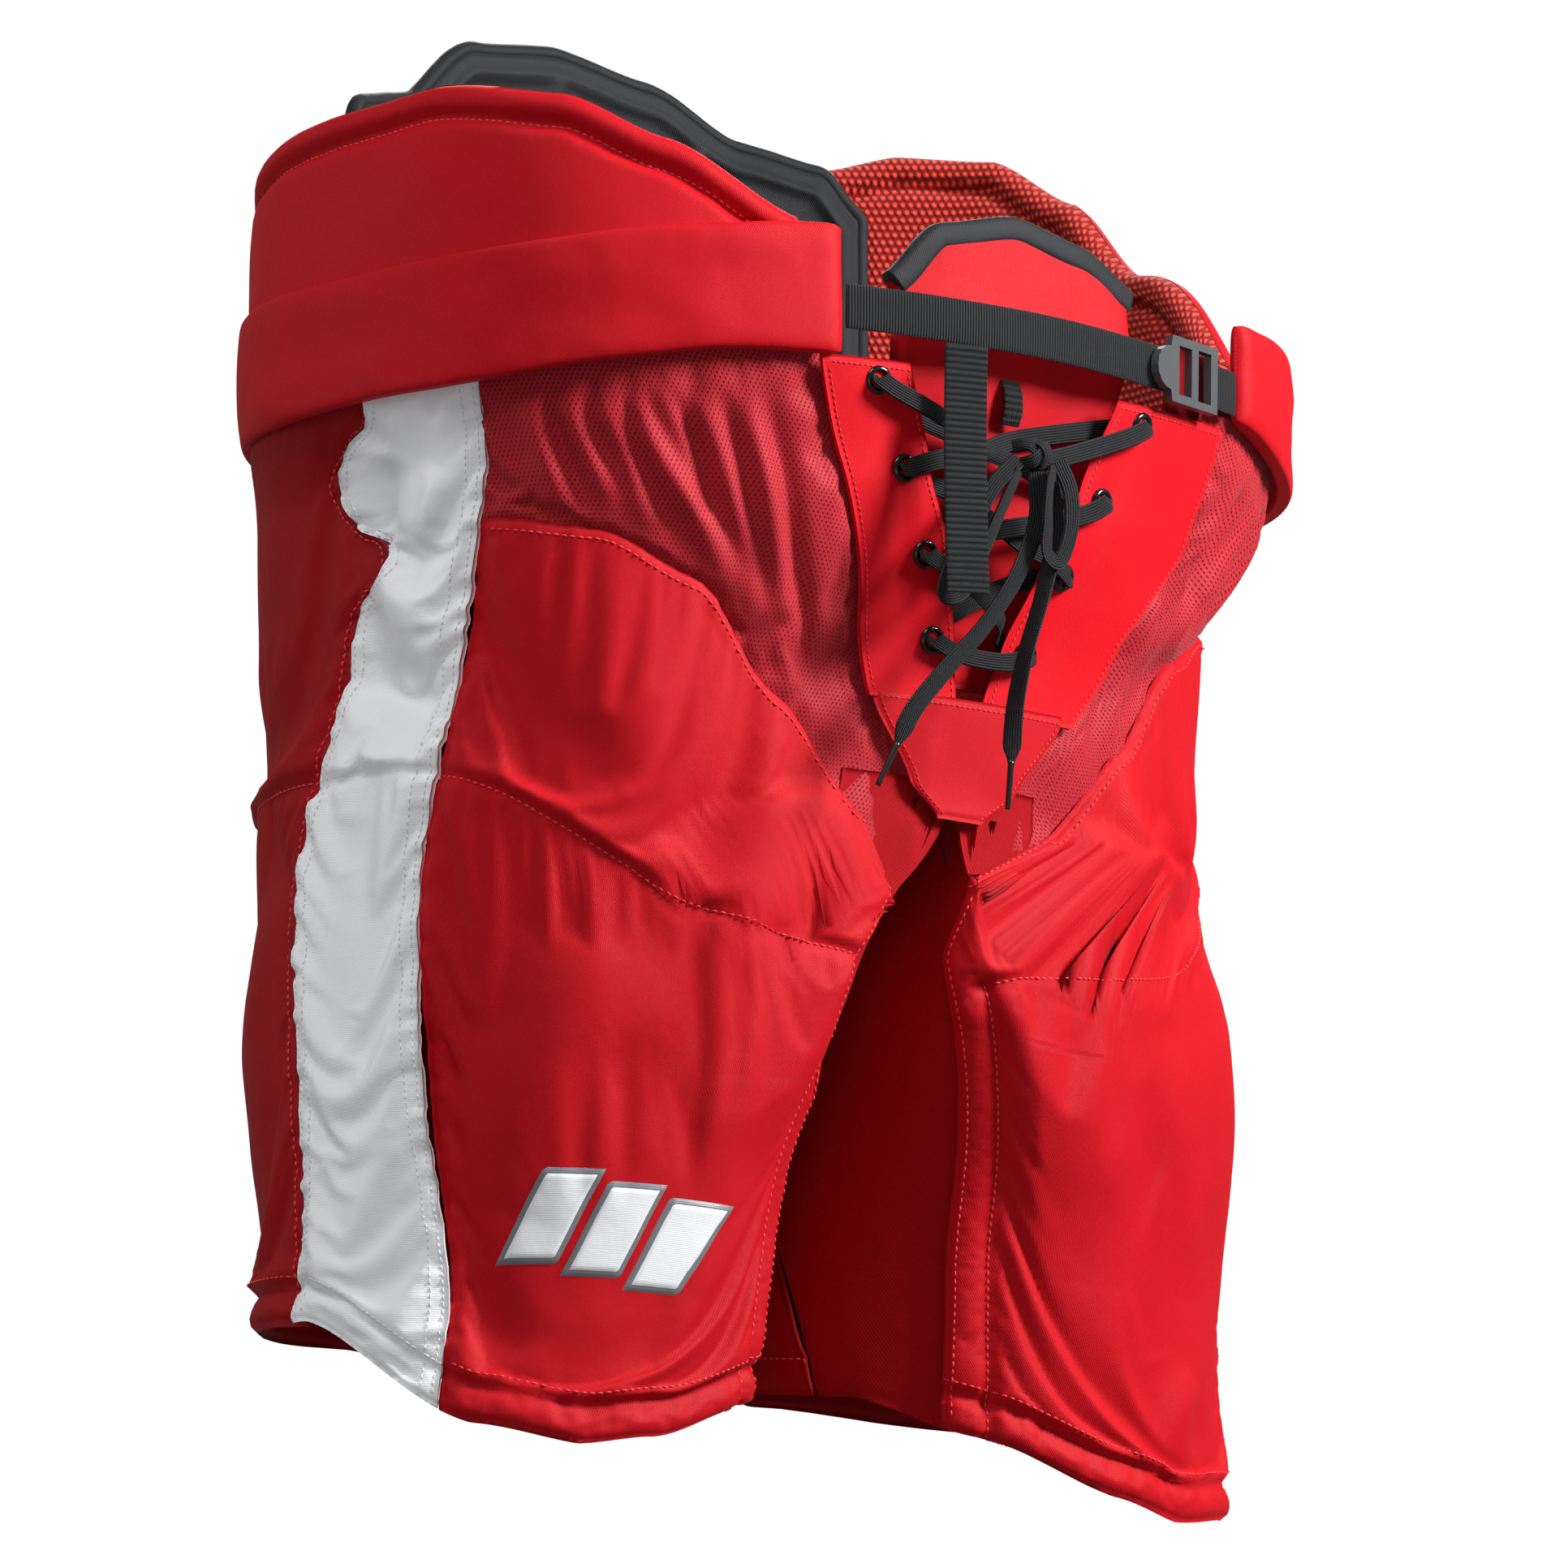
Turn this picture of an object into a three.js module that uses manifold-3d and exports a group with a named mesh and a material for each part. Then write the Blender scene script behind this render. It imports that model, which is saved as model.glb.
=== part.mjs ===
// Ice hockey pants, modelled as worn: padded shell, waist belt, laced fly and two flexing legs.
// Millimetres, +Z up, the wearer faces -Y and the wearer's right side is at -X.
// The origin is the middle of the waist opening, at the belt's middle height.
import * as THREE from "three";
import { mergeVertices } from "three/addons/utils/BufferGeometryUtils.js";
import Module from "manifold-3d";

const wasm = await Module();
wasm.setup();

// ---------- Driving dimensions ----------
const WAIST_HALF_WIDTH = 240; // outer face of the shell at the belt, side to side
const WAIST_FRONT = 184; // centre line to the front of the waist
const WAIST_BACK = 172; // centre line to the back of the waist
const LEG_LENGTH = 490; // belt to the lowest point of the front hem
const CROTCH_DROP = 215; // belt to crotch
const DRAWN_DROP = 215; // the crotch drop that the heights between belt and crotch are drawn for
const LEG_HALF_WIDTH = 120; // leg opening, side to side
const LEG_HALF_DEPTH = 103; // leg opening, front to back
const LEG_GAP = 10; // inner face of each leg opening to the centre plane
const HEM_RISE_SIDE = 58; // how far the hem is cut up at the outer side
const HEM_RISE_BACK = 72;
const HEM_RISE_INNER = 45;
const BELT_WIDTH = 58;
const BELT_THICKNESS = 9;
const SPINE_RISE = 192; // belt to the top of the spine pad
const SHELL = 2.5; // outer fabric with its backing
const FOAM = 11; // impact foam
const CAP = 2.5; // moulded plastic guard
const LINING = 2.5;
const WEBBING_WIDTH = 20;
const WEBBING = 1.6;
const LACE_RADIUS = 1.5; // the flat lace, bunched up, as a round cord
const EYELET_HOLE = 3.7;
const EYELET_FLANGE = 6.4;
const CLEAR = 0.5; // gap between pieces that touch
const SEAM = 0.35; // degrees between neighbouring panels
const LAYER = 5; // gap between a shell panel and the padding behind it, which is faceted apart
const SKIN = 1.0; // gap between thin layers
const TONGUE_DEPTH = 15; // tongue's outer face behind the shell's
const TONGUE_THICKNESS = 7;
const FLEX = { y: 10, z: -150 }; // hip joint axis, along X

const RIGHT = 1; // sign that mirrors a right-side shape
const LEFT = -1;
const V = (x, y, z) => new THREE.Vector3(x, y, z);
const rad = THREE.MathUtils.degToRad;
const lerp = THREE.MathUtils.lerp;
const clamp01 = (t) => Math.min(1, Math.max(0, t));
const ease = (from, to, x) => {
  const t = clamp01((x - from) / (to - from));
  return t * t * (3 - 2 * t);
};

// A smooth value between [position, value] stations, in rising order of position.
function along(stations, x) {
  if (x <= stations[0][0]) return stations[0][1];
  for (let i = 1; i < stations.length; i++) {
    const [x0, y0] = stations[i - 1];
    const [x1, y1] = stations[i];
    if (x <= x1) return lerp(y0, y1, ease(x0, x1, x) * 0.5 + ((x - x0) / (x1 - x0)) * 0.5);
  }
  return stations[stations.length - 1][1];
}

// A height between belt and crotch stretches with the crotch drop.
const drop = (z) => (z * CROTCH_DROP) / DRAWN_DROP;

// ---------- The outer surface of the pants ----------
const crotchTop = -CROTCH_DROP + 25;
const legTop = -CROTCH_DROP - 150;
const ringHalfWidth = (z) =>
  along([[legTop, WAIST_HALF_WIDTH + 2], [drop(-205), WAIST_HALF_WIDTH - 9],
    [drop(-130), WAIST_HALF_WIDTH - 19], [drop(-60), WAIST_HALF_WIDTH - 15], [-10, WAIST_HALF_WIDTH]], z);
const ringFront = (z) =>
  along([[legTop, WAIST_FRONT - 54], [drop(-195), WAIST_FRONT - 43], [drop(-150), WAIST_FRONT - 36],
    [drop(-60), WAIST_FRONT - 11], [0, WAIST_FRONT]], z);
const ringBack = (z) =>
  along([[legTop, WAIST_BACK - 16], [drop(-190), WAIST_BACK - 2], [drop(-80), WAIST_BACK + 3],
    [0, WAIST_BACK]], z);
const legHalfWidth = (z) => along([[-LEG_LENGTH, LEG_HALF_WIDTH], [legTop, LEG_HALF_WIDTH - 3]], z);
const legCentre = (z) => legHalfWidth(z) + along([[-LEG_LENGTH, LEG_GAP], [legTop, LEG_GAP - 4]], z);
const legHalfDepth = (z) =>
  along([[-LEG_LENGTH, LEG_HALF_DEPTH], [-LEG_LENGTH + 100, LEG_HALF_DEPTH + 13],
    [-LEG_LENGTH + 220, LEG_HALF_DEPTH + 45]], z);
const legForward = (z) => along([[-LEG_LENGTH, 8], [-LEG_LENGTH + 220, 10]], z);
const legShare = (z) => 1 - ease(legTop, crotchTop, z);
// Lower is squarer.
const legRoundness = (z) => along([[-LEG_LENGTH, 1], [drop(-300), 0.7], [drop(-230), 0.6]], z);
const FRONT_FLATNESS = 0.65;
const BACK_FLATNESS = 0.8;
const squared = (t, power) => Math.sign(t) * Math.pow(Math.abs(t), power);

// Above the crotch: angle 0 is the front, 90 the wearer's right, 180 the back, -90 the left.
function ringPoint(angle, z) {
  const s = Math.sin(rad(angle));
  const c = Math.cos(rad(angle));
  const depth = c > 0 ? -ringFront(z) * Math.pow(c, FRONT_FLATNESS) : ringBack(z) * Math.pow(-c, BACK_FLATNESS);
  return new THREE.Vector3(-ringHalfWidth(z) * s, depth, z);
}

// One leg and its half of the hips: angle 0 front, 90 outer side, 180 back, 270 inner side.
function legPoint(side, angle, z) {
  const s = Math.sin(rad(angle));
  const c = Math.cos(rad(angle));
  const hip = ringPoint(angle, z);
  const share = legShare(z);
  const round = s > 0 ? 1 : legRoundness(z);
  const x = lerp(s > 0 ? hip.x : -4, -legCentre(z) - legHalfWidth(z) * squared(s, round), share);
  const y = lerp(hip.y, legForward(z) - legHalfDepth(z) * squared(c, round), share);
  return new THREE.Vector3(side * x, y, z);
}

// The point of a surface, moved along its outward normal.
function lifted(surface, angle, z, offset) {
  const p = surface(angle, z);
  const du = surface(angle + 0.5, z).sub(surface(angle - 0.5, z));
  const dv = surface(angle, z + 2).sub(surface(angle, z - 2));
  const n = new THREE.Vector3().crossVectors(dv, du).normalize();
  const out = surface(angle, z).sub(surface.middle(z));
  if (n.dot(out) < 0) n.negate();
  return { point: p.addScaledVector(n, offset), normal: n };
}
const ring = Object.assign((a, z) => ringPoint(a, z), { middle: (z) => new THREE.Vector3(0, 0, z) });
const legs = {};
for (const side of [RIGHT, LEFT]) {
  legs[side] = Object.assign((a, z) => legPoint(side, a, z), {
    middle: (z) => {
      const share = legShare(z);
      return new THREE.Vector3(-side * lerp(30, legCentre(z), share), legForward(z), z);
    },
  });
}

// ---------- Solids ----------
function solid(positions, indices) {
  const g = new THREE.BufferGeometry();
  g.setAttribute("position", new THREE.Float32BufferAttribute(positions.flatMap((p) => p.toArray()), 3));
  g.setIndex(indices);
  let volume = 0;
  for (let i = 0; i < indices.length; i += 3) {
    const [a, b, c] = [positions[indices[i]], positions[indices[i + 1]], positions[indices[i + 2]]];
    volume += a.dot(new THREE.Vector3().crossVectors(b, c)) / 6;
  }
  if (volume < 0) g.setIndex(indices.map((_, i) => indices[i - (i % 3) + ((3 - (i % 3)) % 3)]));
  return g;
}

// A closed slab between two grids of points, grid[row][column].
function slab(outer, inner) {
  const rows = outer.length;
  const cols = outer[0].length;
  const points = [...outer.flat(), ...inner.flat()];
  const o = (r, c) => r * cols + c;
  const i = (r, c) => rows * cols + r * cols + c;
  const tris = [];
  const quad = (a, b, c, d) => tris.push(a, b, c, a, c, d);
  for (let r = 0; r + 1 < rows; r++) {
    for (let c = 0; c + 1 < cols; c++) {
      quad(o(r, c), o(r, c + 1), o(r + 1, c + 1), o(r + 1, c));
      quad(i(r, c), i(r + 1, c), i(r + 1, c + 1), i(r, c + 1));
    }
    quad(o(r, 0), o(r + 1, 0), i(r + 1, 0), i(r, 0));
    quad(o(r, cols - 1), i(r, cols - 1), i(r + 1, cols - 1), o(r + 1, cols - 1));
  }
  for (let c = 0; c + 1 < cols; c++) {
    quad(o(0, c), i(0, c), i(0, c + 1), o(0, c + 1));
    quad(o(rows - 1, c), o(rows - 1, c + 1), i(rows - 1, c + 1), i(rows - 1, c));
  }
  return solid(points, tris);
}

const asFunction = (v) => (typeof v === "function" ? v : () => v);

// A piece of fabric, foam or plastic that follows the pants' surface, between two depths under it.
// from and to are angles, as functions of height; low and high are heights, as functions of angle.
function panel(surface, { from, to, low, high, outer = 0, thick = SHELL, cols = 6, rows = 6 }) {
  const [fromAt, toAt, lowAt, highAt] = [from, to, low, high].map(asFunction);
  const grids = [[], []];
  for (let r = 0; r <= rows; r++) {
    for (const g of grids) g.push([]);
    for (let c = 0; c <= cols; c++) {
      const u = c / cols;
      let z = 0;
      let angle = (fromAt(0) + toAt(0)) / 2;
      for (let pass = 0; pass < 4; pass++) {
        z = lerp(lowAt(angle), highAt(angle), r / rows);
        angle = lerp(fromAt(z), toAt(z), u);
      }
      [outer, outer - thick].forEach((d, k) => grids[k][r].push(lifted(surface, angle, z, d).point));
    }
  }
  return slab(grids[0], grids[1]);
}

// A flat strap through points, each with the direction of its width and of its thickness.
function strap(stations, width, thickness) {
  const face = (side) =>
    stations.map(({ at, across, out }) =>
      [-0.5, 0.5].map((k) =>
        at.clone().addScaledVector(across, k * width).addScaledVector(out, (side * thickness) / 2)));
  return slab(face(1), face(-1));
}

// A round cord through points.
function cord(points, radius, steps) {
  const section = new THREE.Shape();
  const sides = 8;
  for (let i = 0; i < sides; i++) {
    const a = (i / sides) * 2 * Math.PI;
    const method = i ? "lineTo" : "moveTo";
    section[method](radius * Math.cos(a), radius * Math.sin(a));
  }
  section.closePath();
  const path = new THREE.CatmullRomCurve3(points, false, "centripetal");
  return new THREE.ExtrudeGeometry(section, {
    steps, curveSegments: 1, extrudePath: path, bevelEnabled: false,
  });
}

function toManifold(geometry) {
  const g = geometry.clone();
  g.deleteAttribute("normal");
  g.deleteAttribute("uv");
  const merged = mergeVertices(g, 1e-3);
  return new wasm.Manifold(new wasm.Mesh({
    numProp: 3,
    vertProperties: new Float32Array(merged.attributes.position.array),
    triVerts: new Uint32Array(merged.index.array),
  }));
}

function fromManifold(m) {
  const mesh = m.getMesh();
  const g = new THREE.BufferGeometry();
  g.setAttribute("position", new THREE.BufferAttribute(new Float32Array(mesh.vertProperties), 3));
  g.setIndex(new THREE.BufferAttribute(new Uint32Array(mesh.triVerts), 1));
  return g;
}

const cutFrom = (geometry, cutters) =>
  fromManifold(cutters.reduce((m, c) => m.subtract(toManifold(c)), toManifold(geometry)));

// ---------- Materials ----------
const finish = (color, roughness, metalness = 0) =>
  new THREE.MeshStandardMaterial({ color, roughness, metalness });
const redShell = finish(0xb3121d, 0.7);
const redMesh = finish(0xb02838, 0.85);
const redKnit = finish(0x9c0f18, 0.9);
const orangeLining = finish(0xd8432c, 0.95);
const whiteStripe = finish(0xeef0f4, 0.5);
const blackFabric = finish(0x141617, 0.85);
const blackWebbing = finish(0x16181a, 0.75);
const blackPlastic = finish(0x2b2e31, 0.4);
const foam = finish(0x8d9196, 0.95);
const guardPlastic = finish(0x202326, 0.45);
const eyeletMetal = finish(0x0c0d0f, 0.2, 0.6);

const pants = new THREE.Group();
function add(name, geometry, material) {
  const mesh = new THREE.Mesh(geometry, material);
  mesh.name = name;
  pants.add(mesh);
  return mesh;
}

const SIDES = [["right", RIGHT], ["left", LEFT]];
const mirrorAngle = (side, angle) => side * angle; // ring angles run the other way on the left

// ---------- Legs ----------
const hemLow = -LEG_LENGTH;
// The hem is lowest at the front of the thigh and cut up at the sides and the back.
function hem(angle) {
  const a = ((angle % 360) + 360) % 360;
  const rise = along([[0, 6], [20, 0], [45, 8], [90, HEM_RISE_SIDE], [180, HEM_RISE_BACK],
    [240, HEM_RISE_INNER + 12], [300, HEM_RISE_INNER], [330, HEM_RISE_INNER * 0.6], [360, 6]], a);
  return hemLow + rise;
}
// Panel borders, as angles on the leg at a height.
const frontEdge = (z) => along([[hemLow, -38], [drop(-260), -34], [drop(-205), 2]], z);
const stripeFront = (z) => along([[hemLow + 55, 53], [drop(-230), 78], [drop(-130), 76], [-30, 73]], z);
const stripeBack = (z) => along([[hemLow + 55, 95], [drop(-230), 98], [drop(-130), 92], [-30, 88.5]], z);
const innerSeam = (z) => along([[hemLow, 298], [drop(-270), 262]], z);
const rearSeam = 190;
const GUSSET_GAP = 3; // degrees: the front panel's free inner edge stands a little off the gusset
const legPanelTop = drop(-84); // where the padded leg begins under the hip's stretch panels
const legFrontTop = -CROTCH_DROP - 10;
const innerTop = -CROTCH_DROP - 47;
// The padded thigh panel's upper edge falls towards the fly.
const thighTop = (angle) =>
  along([[8, legFrontTop], [13, drop(-204)], [27, drop(-158)], [40, drop(-111)], [55, drop(-91)],
    [75, legPanelTop]], angle);
const rearTop = (angle) => along([[118, legPanelTop], [150, drop(-150)], [172, legFrontTop]], angle);
const GUARD = { from: 8, to: 50, low: hemLow + 30, high: hemLow + 0.6 * (LEG_LENGTH - CROTCH_DROP) };
const HIP_GUARD = { from: 60, to: 112, low: legPanelTop - 246, high: legPanelTop - 12 };

for (const [name, side] of SIDES) {
  const leg = legs[side];
  add(`${name}_thigh_panel`, panel(leg, {
    from: frontEdge, to: (z) => stripeFront(z) - SEAM, low: hem, high: thighTop, cols: 10, rows: 10,
  }), redShell);
  add(`${name}_side_stripe`, panel(leg, {
    from: stripeFront, to: stripeBack, low: hem, high: legPanelTop, cols: 3, rows: 10,
  }), whiteStripe);
  add(`${name}_rear_panel`, panel(leg, {
    from: (z) => stripeBack(z) + SEAM, to: rearSeam, low: hem, high: rearTop, cols: 7, rows: 10,
  }), redShell);
  add(`${name}_inner_panel`, panel(leg, {
    from: rearSeam + SEAM, to: innerSeam, low: hem, high: innerTop, cols: 6, rows: 6,
  }), redShell);
  add(`${name}_knit_gusset`, panel(leg, {
    from: (z) => innerSeam(z) + SEAM, to: (z) => 360 + frontEdge(z) - GUSSET_GAP, low: hem, high: innerTop,
    cols: 5, rows: 6,
  }), redKnit);
  // Inside the thigh: foam against the leg and a moulded cap over it.
  add(`${name}_thigh_cap`, panel(leg, {
    ...GUARD, outer: -SHELL - LAYER, thick: CAP, cols: 5, rows: 5,
  }), guardPlastic);
  add(`${name}_thigh_foam`, panel(leg, {
    ...GUARD, outer: -SHELL - LAYER - CAP - SKIN, thick: FOAM, cols: 5, rows: 5,
  }), foam);
  add(`${name}_hip_foam`, panel(leg, {
    ...HIP_GUARD, outer: -SHELL - LAYER, thick: FOAM, cols: 5, rows: 5,
  }), foam);
}

// ---------- Stretch panels between waist and legs ----------
const beltLow = -BELT_WIDTH / 2;
const facingOuter = (z) => along([[drop(-195), 44], [drop(-120), 66], [0, 108]], z); // from the centre line
const facingInner = (z) =>
  along([[drop(-150), 8], [drop(-127), 14], [drop(-92), 26], [drop(-57), 43], [-4, 62]], z);
const angleAt = (x, z) => THREE.MathUtils.radToDeg(Math.asin(x / ringHalfWidth(z)));
const facingTop = beltLow + 17;
const facingBottom = drop(-154);
const VENT_OUTER = 78;
const VENT_GAP = 17;
const seatEdge = (z) => along([[-CROTCH_DROP + 8, 176], [drop(-150), 166], [-31, 158]], z);
for (const [name, side] of SIDES) {
  add(`${name}_mesh_vent`, panel(ring, {
    from: (z) => mirrorAngle(side, angleAt(facingOuter(z), z) + 3 * SEAM),
    to: mirrorAngle(side, VENT_OUTER),
    low: (a) => thighTop(Math.abs(a)) + VENT_GAP, high: beltLow - 2, thick: 1.5, cols: 8, rows: 4,
  }), redMesh);
  add(`${name}_rear_yoke`, panel(ring, {
    from: mirrorAngle(side, VENT_OUTER + SEAM * 2), to: (z) => mirrorAngle(side, seatEdge(z) - 6 * SEAM),
    low: (a) => rearTop(Math.abs(a)) + VENT_GAP, high: beltLow - 2, thick: 1.5, cols: 7, rows: 3,
  }), redShell);
}

// ---------- Waist: belt, kidney pads, seat ----------
const BELT_ENDS = { right: angleAt(98, 0), left: angleAt(141, 0) };
const beltLift = (a) => 16 * (1 - ease(24, 80, Math.abs(a)));
for (const [name, side] of SIDES) {
  add(`${name}_belt_sleeve`, panel(ring, {
    from: mirrorAngle(side, BELT_ENDS[name]), to: mirrorAngle(side, 180 - SEAM),
    low: (a) => beltLow + beltLift(a), high: (a) => -beltLow + beltLift(a),
    outer: BELT_THICKNESS, thick: BELT_THICKNESS - SKIN, cols: 12, rows: 2,
  }), redShell);
}
// The kidney pads rise above the belt; the limp waist has let each slump its own way.
const KIDNEY = {
  right: {
    from: 28, to: 146,
    top: [[28, 48], [45, 82], [60, 104], [80, 113], [95, 108], [120, 96], [135, 88], [146, 66]],
  },
  left: {
    from: 78, to: 150,
    top: [[78, 46], [90, 92], [101, 130], [115, 153], [130, 158], [141, 152], [150, 128]],
  },
};
const kidneyLow = -beltLow + 1;
const KIDNEY_FOAM = 12;
for (const [name, side] of SIDES) {
  const { from, to, top } = KIDNEY[name];
  const layer = (inset, outer, thick) => panel(ring, {
    from: mirrorAngle(side, from + inset), to: mirrorAngle(side, to - inset),
    low: (a) => kidneyLow + beltLift(a),
    high: (a) => Math.max(kidneyLow + beltLift(a) + 3, along(top, Math.abs(a)) - inset * 2),
    outer, thick, cols: 12, rows: 3,
  });
  add(`${name}_kidney_cover`, layer(0, 0, SHELL), redShell);
  add(`${name}_kidney_foam`, layer(2, -SHELL - 2 * SKIN, KIDNEY_FOAM), foam);
  add(`${name}_kidney_lining`, layer(0.5, -SHELL - KIDNEY_FOAM - 4 * SKIN, LINING), orangeLining);
}
add("seat_panel", panel(ring, {
  from: seatEdge, to: (z) => 360 - seatEdge(z), low: -CROTCH_DROP + 8, high: beltLow - 2, cols: 5, rows: 5,
}), redShell);
add("tailbone_guard", panel(ring, {
  from: 167, to: 193, low: drop(-160), high: beltLow - 10, outer: -SHELL - LAYER, thick: CAP + 2,
  cols: 4, rows: 4,
}), guardPlastic);

// The crotch gusset runs from the fly to the seat between the legs.
{
  const half = 30;
  const stations = [];
  const steps = 8;
  const front = -ringFront(-CROTCH_DROP) + 4;
  const back = ringBack(-CROTCH_DROP) - 4;
  for (let i = 0; i <= steps; i++) {
    const t = i / steps;
    const y = lerp(front, back, t);
    const z = -CROTCH_DROP + 8 - 8 * Math.sin(Math.PI * t);
    stations.push({ at: V(0, y, z), across: V(1, 0, 0), out: V(0, 0, 1) });
  }
  add("crotch_gusset", strap(stations, 2 * half, SHELL), redKnit);
}

// ---------- Spine pad, on its own fold line inside the back of the belt ----------
const spineTop = (a) => along([[136, 112], [142, 146], [154, 154], [166, SPINE_RISE - 6], [180, SPINE_RISE],
  [194, SPINE_RISE - 10], [206, 160], [218, 152], [224, 130]], a);
const SPINE = { from: 136, to: 224, low: -beltLow + 8 };
const SPINE_DEPTH = -SHELL - KIDNEY_FOAM - LINING - 8;
const SPINE_THICKNESS = 9;
add("spine_pad", panel(ring, {
  ...SPINE, high: spineTop, outer: SPINE_DEPTH, thick: SPINE_THICKNESS, cols: 14, rows: 3,
}), blackFabric);

// ---------- Fly: facings with eyelets, shield, tongue ----------
// From the centre line, height.
const EYELETS = [[76, -21], [57, -57], [40, -92], [27, -127]].map(([x, z]) => [x, drop(z)]);
const onFly = (x, z, offset) => lifted(ring, -angleAt(x, z), z, offset);
const turnTo = (normal) => new THREE.Quaternion().setFromUnitVectors(new THREE.Vector3(0, 1, 0), normal);

function eyeletGeometry() {
  const flange = 1.2;
  const under = -SHELL - CLEAR;
  const profile = [[EYELET_HOLE, CLEAR + flange], [EYELET_FLANGE, CLEAR + flange], [EYELET_FLANGE, CLEAR],
    [EYELET_HOLE + 1, CLEAR], [EYELET_HOLE + 1, under], [EYELET_FLANGE - 0.4, under],
    [EYELET_FLANGE - 0.4, under - 1], [EYELET_HOLE, under - 1], [EYELET_HOLE, CLEAR + flange]];
  return new THREE.LatheGeometry(profile.map(([r, h]) => new THREE.Vector2(r, h)).reverse(), 12);
}

for (const [name, side] of SIDES) {
  const plain = panel(ring, {
    from: (z) => mirrorAngle(side, angleAt(facingInner(z), z)),
    to: (z) => mirrorAngle(side, angleAt(facingOuter(z), z)),
    low: facingBottom, high: facingTop, cols: 3, rows: 6,
  });
  const holes = EYELETS.map(([x, z]) => {
    const { point, normal } = onFly(-side * x, z, 0);
    const hole = new THREE.CylinderGeometry(EYELET_HOLE + 1 + 3 * CLEAR, EYELET_HOLE + 1 + 3 * CLEAR, 20, 16);
    hole.applyQuaternion(turnTo(normal));
    hole.translate(...point.toArray());
    return hole;
  });
  add(`${name}_fly_facing`, cutFrom(plain, holes), redShell);
  EYELETS.forEach(([x, z], i) => {
    const { point, normal } = onFly(-side * x, z, 0);
    const eyelet = add(`${name}_eyelet_${i + 1}`, eyeletGeometry(), eyeletMetal);
    eyelet.quaternion.copy(turnTo(normal));
    eyelet.position.copy(point);
  });
}
const shieldHalf = (z) => along([[drop(-204), 12], [drop(-188), 26], [drop(-156), 45]], z);
add("fly_shield", panel(ring, {
  from: (z) => -angleAt(shieldHalf(z), z), to: (z) => angleAt(shieldHalf(z), z),
  low: drop(-203), high: facingBottom - CLEAR, cols: 6, rows: 3,
}), redShell);

const TONGUE_LOW = drop(-145);
const tongueLeft = (z) => along([[TONGUE_LOW, 26], [drop(-60), 60], [20, 84]], z);
const tongueRight = (z) => along([[TONGUE_LOW, 26], [drop(-60), 58], [10, 62]], z);
const tongueTop = (a) => along([[-21, 40], [-12, 55], [-2, 62], [8, 54], [15, 28]], a);
add("tongue", panel(ring, {
  from: (z) => -angleAt(tongueLeft(z), z), to: (z) => angleAt(tongueRight(z), z),
  low: TONGUE_LOW, high: tongueTop, outer: -TONGUE_DEPTH, thick: TONGUE_THICKNESS, cols: 8, rows: 7,
}), redShell);
{
  const from = -angleAt(tongueLeft(20), 20) + 1;
  const to = angleAt(tongueRight(10), 10) - 1.5;
  const points = [];
  for (let i = 0; i <= 8; i++) {
    const a = lerp(from, to, i / 8);
    points.push(lifted(ring, a, tongueTop(a) + 6, -TONGUE_DEPTH - TONGUE_THICKNESS / 2).point);
  }
  add("tongue_binding", cord(points, 2.6, 20), blackFabric);
}
{
  const { point, normal } = lifted(ring, angleAt(-4, drop(-22)), drop(-22), -TONGUE_DEPTH + 3.2);
  const across = new THREE.Vector3().crossVectors(new THREE.Vector3(0, 0, 1), normal).normalize();
  const stations = [-9, 9].map((h) => ({
    at: point.clone().add(new THREE.Vector3(0, 0, h)), across, out: normal,
  }));
  add("lace_keeper", strap(stations, 10, 1.6), blackWebbing);
}

// ---------- Lace ----------
// Through the eyelets: out of the right top eyelet's row, down to the bar, and up the other side.
const OVER = 4.2; // above the shell
const UNDER = -6.6; // between facing and tongue
const at = (x, z, offset) => onFly(x, drop(z), offset).point;
function laceRoute() {
  const through = (sign, [x, z], inwards) => {
    const steps = inwards ? [OVER, 0, UNDER] : [UNDER, 0, OVER];
    return steps.map((o) => onFly(sign * x, z, o).point);
  };
  const R = -1;
  const L = 1;
  const [e1, e2, e3, e4] = EYELETS;
  return [
    at(-22, -42, 7), at(-50, -31, 5.5), at(-70, -24, 5.5),
    ...through(R, e1, true),
    at(-64, -30, UNDER - 1.5), at(-30, -40, -4), at(8, -48, -5), at(40, -54, UNDER - 1.5),
    ...through(L, e2, false),
    at(46, -63, OVER + 0.5), at(24, -70, 3.2), at(0, -76, 3.2), at(-20, -83, -4.5), at(-31, -88, UNDER - 0.5),
    ...through(R, e3, false),
    at(-28, -97, OVER + 0.5), at(-10, -104, 3.6), at(8, -115, 2), at(14, -121, -5), at(20, -125, UNDER - 0.5),
    ...through(L, e4, false),
    at(14, -131, OVER + 0.6), at(-14, -131, OVER + 0.6),
    ...through(R, e4, true),
    at(-20, -122, UNDER - 3.6), at(0, -108, -8.5), at(26, -97, UNDER - 2.8), at(34, -94, UNDER - 1.2),
    ...through(L, e3, false),
    at(28, -86, OVER + 0.3), at(12, -82, 1), at(-4, -74, -3.2), at(-30, -64, -5.5), at(-50, -60, UNDER - 1.2),
    ...through(R, e2, false),
    at(-44, -52, OVER + 0.5), at(-22, -47, 0.5), at(6, -38, -9),
    at(40, -30, UNDER - 3.5), at(66, -24, UNDER - 2),
    ...through(L, e1, false),
    at(66, -26, OVER + 1.5), at(40, -36, 6), at(14, -45, 7),
  ];
}
add("lacing", cord(laceRoute(), LACE_RADIUS, 150), blackWebbing);

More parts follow.
